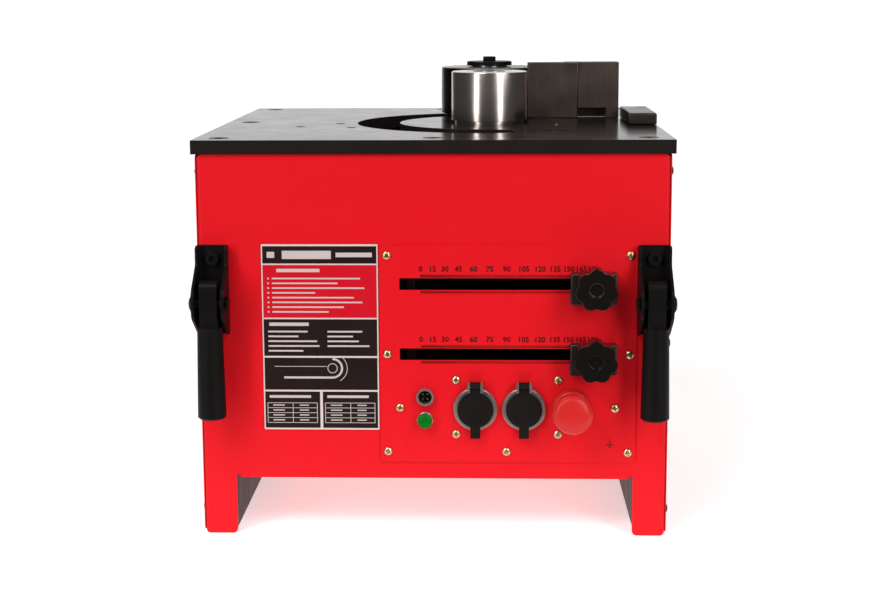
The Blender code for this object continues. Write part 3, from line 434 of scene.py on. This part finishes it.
def cross_head(radius, height):
    """Domed head with a cross recess, for the plate and cover screws."""
    steps = 5
    dome = [(radius * math.sin(math.pi / 2 * k / steps), height * math.cos(math.pi / 2 * k / steps))
            for k in range(steps + 1)]
    base = lathe("pan", dome + [(radius, -0.0001), (0, -0.0001)], (0, 0, 0), steps=20)
    long, thin = radius * 0.56, radius * 0.13
    floor = height * 0.35
    return carve(base, [bar("slot_a", long, thin, floor, height + 0.001),
                        bar("slot_b", thin, long, floor, height + 0.001)])


def socket_head(radius, height, key, depth, edge):
    """Cylinder head with a hexagon socket."""
    profile = [(0, height), (radius - edge, height), (radius, height - edge), (radius, 0), (0, 0)]
    base = lathe("cap", profile, (0, 0, 0), steps=28)
    return carve(base, [prism("key", 6, key, height - depth, height + 0.001)])


# Repeats on points

def repeat_tree():
    """Node group that puts one piece on every point, each turned a little at random."""
    name = "Repeat on points"
    tree = bpy.data.node_groups.get(name)
    if tree:
        return tree
    tree = bpy.data.node_groups.new(name, "GeometryNodeTree")
    face = tree.interface
    face.new_socket("Points", in_out="INPUT", socket_type="NodeSocketGeometry")
    face.new_socket("Piece", in_out="INPUT", socket_type="NodeSocketObject")
    face.new_socket("Facing", in_out="INPUT", socket_type="NodeSocketVector")
    face.new_socket("Turn", in_out="INPUT", socket_type="NodeSocketFloat")
    face.new_socket("Seed", in_out="INPUT", socket_type="NodeSocketInt")
    face.new_socket("Material", in_out="INPUT", socket_type="NodeSocketMaterial")
    face.new_socket("Geometry", in_out="OUTPUT", socket_type="NodeSocketGeometry")
    new, link = tree.nodes.new, tree.links.new
    inputs = new("NodeGroupInput").outputs
    piece = new("GeometryNodeObjectInfo")
    piece.inputs["As Instance"].default_value = True
    size = new("GeometryNodeInputNamedAttribute")
    size.data_type = "FLOAT_VECTOR"
    size.inputs["Name"].default_value = "size"
    facing = new("FunctionNodeEulerToRotation")
    place = new("GeometryNodeInstanceOnPoints")
    chance = new("FunctionNodeRandomValue")
    chance.data_type = "FLOAT"
    spin = new("ShaderNodeCombineXYZ")
    own = new("FunctionNodeEulerToRotation")
    turn = new("GeometryNodeRotateInstances")
    real = new("GeometryNodeRealizeInstances")
    paint = new("GeometryNodeSetMaterial")
    out = new("NodeGroupOutput").inputs
    link(inputs["Piece"], piece.inputs["Object"])
    link(inputs["Facing"], facing.inputs["Euler"])
    link(inputs["Points"], place.inputs["Points"])
    link(piece.outputs["Geometry"], place.inputs["Instance"])
    link(facing.outputs["Rotation"], place.inputs["Rotation"])
    link(size.outputs["Attribute"], place.inputs["Scale"])
    # The float variant of the random value node has its own pair of sockets
    link(inputs["Turn"], [s for s in chance.inputs if s.name == "Max" and s.type == "VALUE"][0])
    link(inputs["Seed"], chance.inputs["Seed"])
    link([s for s in chance.outputs if s.type == "VALUE"][0], spin.inputs["Z"])
    link(spin.outputs["Vector"], own.inputs["Euler"])
    link(own.outputs["Rotation"], turn.inputs["Rotation"])
    link(place.outputs["Instances"], turn.inputs["Instances"])
    link(turn.outputs["Instances"], real.inputs["Geometry"])
    link(real.outputs["Geometry"], paint.inputs["Geometry"])
    link(inputs["Material"], paint.inputs["Material"])
    link(paint.outputs["Geometry"], out["Geometry"])
    return tree


def repeat(name, body, points, piece, facing, finish, turn=0.0, sizes=None):
    """One mesh of the piece repeated on the points, riding on a body."""
    tree = repeat_tree()
    mesh = bpy.data.meshes.new(name + "_points")
    mesh.from_pydata([tuple(point) for point in points], [], [])
    size = mesh.attributes.new("size", "FLOAT_VECTOR", "POINT")
    for i in range(len(points)):
        size.data[i].vector = sizes[i] if sizes else (1, 1, 1)
    holder = add_object(name + "_points", mesh)
    modifier = holder.modifiers.new("Repeat", "NODES")
    modifier.node_group = tree
    values = {"Piece": piece, "Facing": facing, "Turn": turn, "Material": look(finish),
              "Seed": bpy.context.scene.bender.screws.seed}
    for item in tree.interface.items_tree:
        if item.in_out == "INPUT" and item.name in values:
            modifier[item.identifier] = values[item.name]
    made = evaluated_mesh(holder, name)
    bpy.data.objects.remove(holder)
    bpy.data.objects.remove(piece)
    if not made.vertices:
        raise RuntimeError("nothing was repeated for " + name)
    result = add_object(name, made)
    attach(result, body)
    return result


def stand_for(name, mesh, finish, node):
    """Shows a mesh instead of a CAD node, on the node's own body."""
    piece = add_object(name, mesh, finish)
    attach(piece, BODY_OF[node])
    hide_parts(node)
    return piece


def finished_copy(node, width):
    """Joined, smoothed and edge-softened copy of a CAD node."""
    bm = bmesh.new()
    bm.from_mesh(NODES[node].data)
    bmesh.ops.remove_doubles(bm, verts=bm.verts[:], dist=0.00001)
    bmesh.ops.dissolve_limit(bm, angle_limit=math.radians(0.6), verts=bm.verts[:],
                             edges=bm.edges[:])
    mesh = mesh_from(bm, node + "_base")
    smooth(mesh)
    holder = add_object(node + "_base", mesh)
    if width > 0:
        bevel = holder.modifiers.new("Edges", "BEVEL")
        bevel.width = width
        bevel.segments = 2
        bevel.limit_method = "ANGLE"
        bevel.angle_limit = math.radians(40)
        bevel.use_clamp_overlap = True
        bevel.miter_outer = "MITER_ARC"
    weight = holder.modifiers.new("Flats", "WEIGHTED_NORMAL")
    weight.mode = "FACE_AREA"
    weight.weight = 100
    weight.keep_sharp = width == 0
    mesh = evaluated_mesh(holder, node + "_mesh")
    bpy.data.objects.remove(holder)
    return stand_for(node + "_finish", mesh, look_of(node), node)


def rectangles(name, rows, y, finish):
    """Flat printed rectangles (x0, z0, x1, z1) on a plate that faces the front."""
    quads = [[(x0, z0), (x1, z0), (x1, z1), (x0, z1)] for x0, z0, x1, z1 in rows]
    return stroke_piece(name, quads, y, finish)


def strokes(path, width):
    """Quads along a path of (x, z) points, as corner lists."""
    quads = []
    for (x0, z0), (x1, z1) in zip(path, path[1:]):
        length = math.hypot(x1 - x0, z1 - z0)
        nx, nz = -(z1 - z0) / length * width / 2, (x1 - x0) / length * width / 2
        quads.append([(x0 - nx, z0 - nz), (x1 - nx, z1 - nz), (x1 + nx, z1 + nz), (x0 + nx, z0 + nz)])
    return quads


def stroke_piece(name, quads, y, finish):
    """Flat printed quads, riding on the cabinet."""
    bm = bmesh.new()
    for quad in quads:
        bm.faces.new([bm.verts.new((x, y, z)) for x, z in quad])
    piece = add_object(name, mesh_keep(bm, name), look(finish))
    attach(piece, "cabinet")
    return piece


def number_mesh(text, height, x, z, y):
    """Flat mesh of one number, standing on a plate that faces the front."""
    curve = bpy.data.curves.new("number", "FONT")
    curve.body = text
    curve.size = height / 0.7
    curve.offset = height * 0.035
    curve.align_x = "CENTER"
    curve.align_y = "CENTER"
    curve.resolution_u = 2
    holder = add_object("number", curve)
    mesh = evaluated_mesh(holder, "number_" + text)
    bpy.data.objects.remove(holder)
    mesh.transform(Matrix.Translation((x, y, z)) @ FACE_FRONT.to_matrix().to_4x4())
    return mesh


def scale_x(degrees):
    """Place along a scale of an angle: a straight scale with a slight bow."""
    share = degrees / 180 - SCALE_BOW * math.sin(2 * math.radians(degrees))
    return SCALE_ZERO_X + SCALE_LENGTH * share


# Operators, one for each group of pieces

class BENDER_OT_finished_pieces(bpy.types.Operator):
    """Smooth copies of the frame's pieces with softened edges"""
    bl_idname = "bender.finished_pieces"
    bl_label = "Finished pieces"

    def execute(self, context):
        for node, width in EDGE_OF.items():
            finished_copy(node, width)
        for node, piece in NODES.items():
            piece.data.materials.clear()
            piece.data.materials.append(look_of(node))
        return {"FINISHED"}


class BENDER_OT_bending_tools(bpy.types.Operator):
    """The turned former, the roller and the roller's cap screw"""
    bl_idname = "bender.bending_tools"
    bl_label = "Bending tools"

    def tool(self, name, node, at, bore, finish, steps):
        low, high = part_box(node)
        radius = (high.x - low.x) / 2
        top, foot, edge, step = high.z, low.z + 0.0027, 0.0014, 0.004
        profile = [(bore, low.z), (bore, top - 0.0006), (bore + 0.0006, top),
                   (radius - edge, top), (radius - edge * 0.3, top - edge * 0.3),
                   (radius, top - edge), (radius, foot + 0.0006), (radius - 0.0006, foot),
                   (radius - step, foot), (radius - step, low.z), (bore, low.z)]
        mesh = lathe(name, profile, (at.x, at.y, 0), steps=steps)
        stand_for(name, mesh, finish, node)

    def execute(self, context):
        settings = context.scene.bender.finishes
        steps = settings.round_steps
        steel = Vector(settings.tool_steel)
        former = surface("former_steel", steel, steel * 0.72, 1.0, 0.20, 0.27,
                         (1400, 1, 1400), 0.000003, centre=FORMER_AT)
        dark = surface("roller_steel", (0.026, 0.017, 0.015), (0.048, 0.036, 0.031), 1.0, 0.22, 0.34,
                       (1100, 1, 1100), 0.000006, centre=ROLLER_AT)
        self.tool("former_turned", "centre_former", FORMER_AT, FORMER_BORE_R, former, steps)
        self.tool("roller_turned", "bending_roller", ROLLER_AT, ROLLER_BORE_R, dark, steps)
        low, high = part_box("roller_cap_screw")
        seat, top = low.z + 0.022, high.z
        radius = (high.x - low.x) / 2
        flange = seat + 0.005
        profile = [(0, low.z), (0.005, low.z), (0.005, seat), (radius, seat),
                   (radius, flange - 0.0008), (radius - 0.0008, flange), (0, flange)]
        disc = lathe("cap_flange", profile, (ROLLER_AT.x, ROLLER_AT.y, 0), steps=64)
        stand_for("roller_cap_turned", disc, look("black_satin"), "roller_cap_screw")
        bm = bmesh.new()
        bm.from_mesh(prism("hex", 6, 0.0081, flange, top))
        bmesh.ops.bevel(bm, geom=[e for e in bm.edges if min(v.co.z for v in e.verts) > flange],
                        offset=0.0007, segments=2, affect="EDGES", profile=0.5)
        bm.transform(Matrix.Translation((ROLLER_AT.x, ROLLER_AT.y, 0)))
        mesh = mesh_from(bm, "cap_hex")
        smooth(mesh)
        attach(add_object("roller_cap_hex", mesh, look("black_satin")), "bend_arm")
        return {"FINISHED"}


class BENDER_OT_table_screws(bpy.types.Operator):
    """Sunk screws in the table plate and the locating pin beside the former"""
    bl_idname = "bender.table_screws"
    bl_label = "Table screws"

    def execute(self, context):
        settings = context.scene.bender.screws
        height = SEAT_DEPTH - 0.0004
        floor = TABLE_TOP - SEAT_DEPTH + 0.0001
        head = socket_head(settings.table_screw / 2, height, 0.0050, 0.0022, 0.0004)
        repeat("table_screw_heads", "cabinet", [(x, y, floor) for x, y in TABLE_SEATS], head,
               FACE_UP, "black_satin", math.pi)
        dome = [(0, 0.0012), (0.0012, 0.0009), (0.0020, 0.0)]
        pin = lathe("table_pin", dome, (*TABLE_PIN_AT, TABLE_TOP + 0.00005), steps=20)
        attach(add_object("table_pin_dome", pin, look("silver_trim")), "cabinet")
        return {"FINISHED"}


class BENDER_OT_cabinet_screws(bpy.types.Operator):
    """Screws of the control plate, of the side covers and of the handle brackets"""
    bl_idname = "bender.cabinet_screws"
    bl_label = "Cabinet screws"

    def execute(self, context):
        settings = context.scene.bender.screws
        head = cross_head(settings.plate_screw / 2, 0.0026)
        repeat("plate_screw_heads", "cabinet", [(x, PLATE_Y - 0.00005, z) for x, z in PLATE_SCREWS],
               head, FACE_FRONT, "yellow_zinc", math.pi)
        for side, node in ((-1, "side_cover_left"), (1, "side_cover_right")):
            low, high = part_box(node)
            face = high.x if side > 0 else low.x
            points = [(face + side * 0.00005, y, z) for y in COVER_SCREW_Y for z in COVER_SCREW_Z]
            head = cross_head(settings.cover_screw / 2, 0.0030)
            repeat(node + "_screws", "cabinet", points, head, Euler((0, side * math.pi / 2, 0)),
                   "black_satin", math.pi)
        for end in ("front", "rear"):
            points = []
            for side in ("left", "right"):
                low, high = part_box("handle_bracket_%s_%s" % (end, side))
                face = high.y - BRACKET_SHEET if end == "front" else low.y + BRACKET_SHEET
                points += [((low.x + high.x) / 2, face, z) for z in BRACKET_SCREW_Z]
            head = socket_head(0.0072, 0.0046, 0.0034, 0.0028, 0.0006)
            turn = FACE_FRONT if end == "front" else Euler((-math.pi / 2, 0, 0))
            repeat("bracket_screws_" + end, "cabinet", points, head, turn, "black_satin", math.pi)
        return {"FINISHED"}


class BENDER_OT_scales(bpy.types.Operator):
    """Ticks and numbers of the two angle scales"""
    bl_idname = "bender.scales"
    bl_label = "Angle scales"

    def execute(self, context):
        settings = context.scene.bender.prints
        y = PLATE_Y - INK_OFFSET
        points, sizes = [], []
        for z in SCALE_Z:
            for degrees in range(0, 181, settings.tick_step):
                height = LONG_TICK_HEIGHT if degrees % 5 == 0 else TICK_HEIGHT
                for side in (-1, 1):
                    middle = z + side * (SLOT_HALF_H + TICK_GAP + height / 2)
                    points.append((scale_x(degrees), y, middle))
                    sizes.append((settings.tick_width, 0.00006, height))
        tick = add_object("tick", bar("tick", 0.5, 0.5, -0.5, 0.5))
        repeat("scale_ticks", "cabinet", points, tick, FACE_UP, "ink_black", 0.0, sizes)
        bm = bmesh.new()
        for z in SCALE_Z:
            for degrees in range(0, 181, NUMBER_STEP):
                mesh = number_mesh(str(degrees), settings.number_height, scale_x(degrees),
                                   z + SLOT_HALF_H + NUMBER_RISE, y)
                bm.from_mesh(mesh)
        piece = add_object("scale_numbers", mesh_keep(bm, "scale_numbers"), look("ink_black"))
        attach(piece, "cabinet")
        x, z = EARTH_AT
        lines = [[(x, z + 0.006), (x, z)]]
        lines += [[(x - w, z - k * 0.0016), (x + w, z - k * 0.0016)]
                  for k, w in enumerate((0.0042, 0.0028, 0.0014))]
        stroke_piece("earth_mark", [q for line in lines for q in strokes(line, 0.0007)], y, "ink_black")
        return {"FINISHED"}


class BENDER_OT_spec_print(bpy.types.Operator):
    """Bands, lines and the sketch printed on the spec plate"""
    bl_idname = "bender.spec_print"
    bl_label = "Spec plate print"

    def execute(self, context):
        wide = SPEC_HIGH.x - SPEC_LOW.x
        tall = SPEC_HIGH.z - SPEC_LOW.z

        def at(u, v):
            return SPEC_LOW.x + wide * u, SPEC_HIGH.z - tall * v

        def area(u0, v0, u1, v1):
            x0, z0 = at(u0, v1)
            x1, z1 = at(u1, v0)
            return x0, z0, x1, z1

        y = SPEC_LOW.y - 0.00005
        dark = [area(0.012, 0.010, 0.988, 0.102), area(0.012, 0.400, 0.988, 0.598),
                area(0.012, 0.608, 0.988, 0.782), area(0.012, 0.792, 0.488, 0.990),
                area(0.512, 0.792, 0.988, 0.990)]
        rectangles("spec_bands", dark, y, "ink_black")
        rectangles("spec_red_band", [area(0.012, 0.110, 0.988, 0.392)], y, "ink_red")
        light = [area(0.05, 0.040, 0.115, 0.072), area(0.18, 0.034, 0.60, 0.078),
                 area(0.64, 0.044, 0.95, 0.068), area(0.13, 0.130, 0.50, 0.148),
                 area(0.06, 0.418, 0.40, 0.436)]
        for i, length in enumerate((0.86, 0.64, 0.90, 0.42, 0.80, 0.88, 0.70, 0.55)):
            v = 0.178 + i * 0.0255
            light.append(area(0.05, v, 0.065, v + 0.008))
            light.append(area(0.09, v, 0.09 + 0.88 * length, v + 0.008))
        for i, (left, right) in enumerate(((0.34, 0.30), (0.26, 0.22), (0.42, 0.27), (0.44, 0.36),
                                           (0.30, 0.0))):
            v = 0.462 + i * 0.026
            light.append(area(0.05, v, 0.05 + left, v + 0.009))
            if right:
                light.append(area(0.56, v, 0.56 + right, v + 0.009))
        for u in (0.03, 0.53):
            light.append(area(u + 0.02, 0.812, u + 0.38, 0.826))
            for row in range(5):
                v = 0.852 + row * 0.027
                light.append(area(u, v, u + 0.43, v + 0.003))
                if row < 4:
                    light.append(area(u + 0.05, v + 0.011, u + 0.15, v + 0.017))
                    light.append(area(u + 0.28, v + 0.011, u + 0.36, v + 0.017))
            for column in (0.0, 0.22, 0.43):
                light.append(area(u + column, 0.852, u + column + 0.005, 0.963))
        rectangles("spec_lines", light, y - 0.00005, "ink_light")
        sketch = []
        sketch += strokes([at(0.10, 0.655), at(0.55, 0.655)], 0.0006)
        sketch += strokes([at(0.18, 0.715), at(0.60, 0.715)], 0.0022)
        for radius, start, end, width in ((0.010, -90, 90, 0.0022), (0.005, 0, 360, 0.0008),
                                          (0.0155, -60, 60, 0.0007)):
            cx, cz = at(0.60, 0.715)
            cz += 0.010
            turn = [math.radians(start + (end - start) * k / 16) for k in range(17)]
            sketch += strokes([(cx + radius * math.cos(a), cz + radius * math.sin(a)) for a in turn],
                              width)
        stroke_piece("spec_sketch", sketch, y - 0.00005, "ink_light")
        return {"FINISHED"}


class BENDER_OT_controls(bpy.types.Operator):
    """The emergency stop's mushroom head, the connector's insert disc and the connector's pins"""
    bl_idname = "bender.controls"
    bl_label = "Controls"

    def execute(self, context):
        low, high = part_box("estop_head")
        centre = (low + high) / 2
        radius = (high.x - low.x) / 2
        depth = high.y - low.y
        crown = 0.0042
        steps = 8
        curve = [(radius * 0.92 * math.sin(math.pi / 2 * k / steps),
                  depth - crown + crown * math.cos(math.pi / 2 * k / steps))
                 for k in range(steps + 1)]
        profile = curve + [(radius * 0.985, depth - crown - 0.0012), (radius, depth - crown - 0.0035),
                           (radius, depth * 0.42), (radius * 0.93, depth * 0.33),
                           (radius * 0.60, depth * 0.30), (radius * 0.58, 0.0), (0.0068, 0.0)]
        mesh = lathe("mushroom", profile, (centre.x, high.y, centre.z), FACE_FRONT, 72)
        stand_for("estop_mushroom_head", mesh, look("red_plastic"), "estop_head")
        low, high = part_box("pedal_connector")
        centre = (low + high) / 2
        pin = lathe("contact", [(0, 0.0055), (0.0005, 0.0053), (0.0008, 0.0046), (0.0008, 0), (0, 0)],
                    (0, 0, 0), steps=12)
        insert = lathe("insert", [(0, 0), (0.0070, 0), (0.0070, -0.0005), (0, -0.0005)],
                       (centre.x, PLATE_Y + 0.0032, centre.z), FACE_FRONT, 32)
        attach(add_object("connector_insert", insert, look("black_plastic")), "cabinet")
        points = [(centre.x + 0.0034 * math.cos(math.radians(a)), PLATE_Y + 0.0034,
                   centre.z + 0.0034 * math.sin(math.radians(a))) for a in (45, 135, 225, 315)]
        repeat("connector_contacts", "cabinet", points, add_object("contact", pin), FACE_FRONT, "brass")
        return {"FINISHED"}


class BENDER_OT_stage(bpy.types.Operator):
    """Pale floor and backdrop, soft lights and the camera"""
    bl_idname = "bender.stage"
    bl_label = "Studio"

    def light(self, name, at, target, size, power, colour=(1, 1, 1)):
        lamp = bpy.data.lights.new(name, "AREA")
        lamp.shape = "RECTANGLE"
        lamp.size, lamp.size_y = size
        lamp.energy = power
        lamp.color = colour
        holder = bpy.data.objects.new(name, lamp)
        bpy.context.scene.collection.objects.link(holder)
        holder.location = at
        holder.rotation_euler = (Vector(target) - Vector(at)).to_track_quat("-Z", "Y").to_euler()
        return holder

    def backdrop(self, colour):
        """Floor that sweeps up behind the object."""
        front, sweep, back, tall, half = -0.54, 1.0, 1.9, 4.5, 1.75
        line = [(front, 0.0), (back, 0.0)]
        line += [(back + sweep * math.sin(math.radians(a)), sweep - sweep * math.cos(math.radians(a)))
                 for a in range(6, 91, 6)]
        line.append((back + sweep, tall))
        bm = bmesh.new()
        rows = [[bm.verts.new((x, y, z)) for x in (-half, half)] for y, z in line]
        for low, high in zip(rows, rows[1:]):
            bm.faces.new([low[0], low[1], high[1], high[0]])
        mesh = mesh_keep(bm, "studio_floor")
        mesh.shade_smooth()
        finish = surface("studio_floor", colour, Vector(colour) * 0.985, 0.0, 0.55, 0.65,
                         (3, 3, 3), 0.0)
        shader = finish.node_tree.nodes["Principled BSDF"]
        shader.inputs["Emission Color"].default_value = (1, 1, 1, 1)
        shader.inputs["Emission Strength"].default_value = 0.55
        return add_object("studio_floor", mesh, finish)

    def camera(self):
        """Camera that looks a little down and a little from the right."""
        turn, tilt, roll = (math.radians(angle) for angle in CAMERA_ANGLES)
        ahead = Vector((-math.sin(turn) * math.cos(tilt), math.cos(turn) * math.cos(tilt),
                        -math.sin(tilt)))
        right = Vector((math.cos(turn), math.sin(turn), 0))
        above = right.cross(ahead)
        side = right * math.cos(roll) + above * math.sin(roll)
        top = above * math.cos(roll) - right * math.sin(roll)
        lens = bpy.data.cameras.new("camera")
        lens.sensor_width = 36.0
        lens.lens = CAMERA_LENS
        lens.shift_y = CAMERA_SHIFT
        holder = bpy.data.objects.new("camera", lens)
        bpy.context.scene.collection.objects.link(holder)
        facing = Matrix((side, top, -ahead)).transposed().to_4x4()
        holder.matrix_world = Matrix.Translation(CAMERA_AT) @ facing
        bpy.context.scene.camera = holder

    def execute(self, context):
        settings = context.scene.bender.studio
        floor = self.backdrop(settings.floor_colour)
        power = settings.key_power
        key = self.light("key_light", (-1.2, -2.0, 2.6), (0, 0, 0.2), (1.6, 1.6), power)
        fill = self.light("fill_light", (1.6, -1.8, 2.0), (0, 0, 0.2), (1.4, 1.4), power * 0.5)
        left = self.light("strip_left", (-1.15, -1.47, 0.78), (0.06, 0, 0.78), (0.28, 1.5),
                          power * 0.22)
        right = self.light("strip_right", (1.09, -1.60, 0.78), (0.06, 0, 0.78), (0.28, 1.5),
                           power * 0.22)
        world = bpy.data.worlds.new("studio")
        world.use_nodes = True
        tree = world.node_tree
        background = tree.nodes["Background"]
        background.inputs["Color"].default_value = (1, 1, 1, 1)
        seen = tree.nodes.new("ShaderNodeLightPath")
        level = tree.nodes.new("ShaderNodeMapRange")
        level.inputs["To Min"].default_value = settings.surround
        level.inputs["To Max"].default_value = 1.0
        tree.links.new(seen.outputs["Is Camera Ray"], level.inputs["Value"])
        tree.links.new(level.outputs["Result"], background.inputs["Strength"])
        context.scene.world = world
        context.scene.view_settings.view_transform = "Standard"
        self.camera()
        return {"FINISHED"}


class BENDER_PT_panel(bpy.types.Panel):
    """Lists the steps that build the bender"""
    bl_label = "Rebar Bender"
    bl_idname = "BENDER_PT_panel"
    bl_space_type = "VIEW_3D"
    bl_region_type = "UI"
    bl_category = "Bender"

    def draw(self, context):
        settings = context.scene.bender
        for group in (settings.finishes, settings.screws, settings.prints, settings.studio):
            box = self.layout.box()
            for name in group.__annotations__:
                box.prop(group, name)
        for step in STEPS:
            self.layout.operator(step.bl_idname)


STEPS = (BENDER_OT_finished_pieces, BENDER_OT_bending_tools, BENDER_OT_table_screws,
         BENDER_OT_cabinet_screws, BENDER_OT_scales, BENDER_OT_spec_print, BENDER_OT_controls,
         BENDER_OT_stage)
CLASSES = (FinishSettings, ScrewSettings, PrintSettings, StudioSettings, BenderSettings,
           *STEPS, BENDER_PT_panel)


def register():
    for item in CLASSES:
        bpy.utils.register_class(item)
    bpy.types.Scene.bender = PointerProperty(type=BenderSettings)


def unregister():
    del bpy.types.Scene.bender
    for item in reversed(CLASSES):
        bpy.utils.unregister_class(item)


def main():
    register()
    bpy.ops.bender.finished_pieces()
    bpy.ops.bender.bending_tools()
    bpy.ops.bender.table_screws()
    bpy.ops.bender.cabinet_screws()
    bpy.ops.bender.scales()
    bpy.ops.bender.spec_print()
    bpy.ops.bender.controls()
    bpy.ops.bender.stage()


if __name__ == "__main__":
    main()
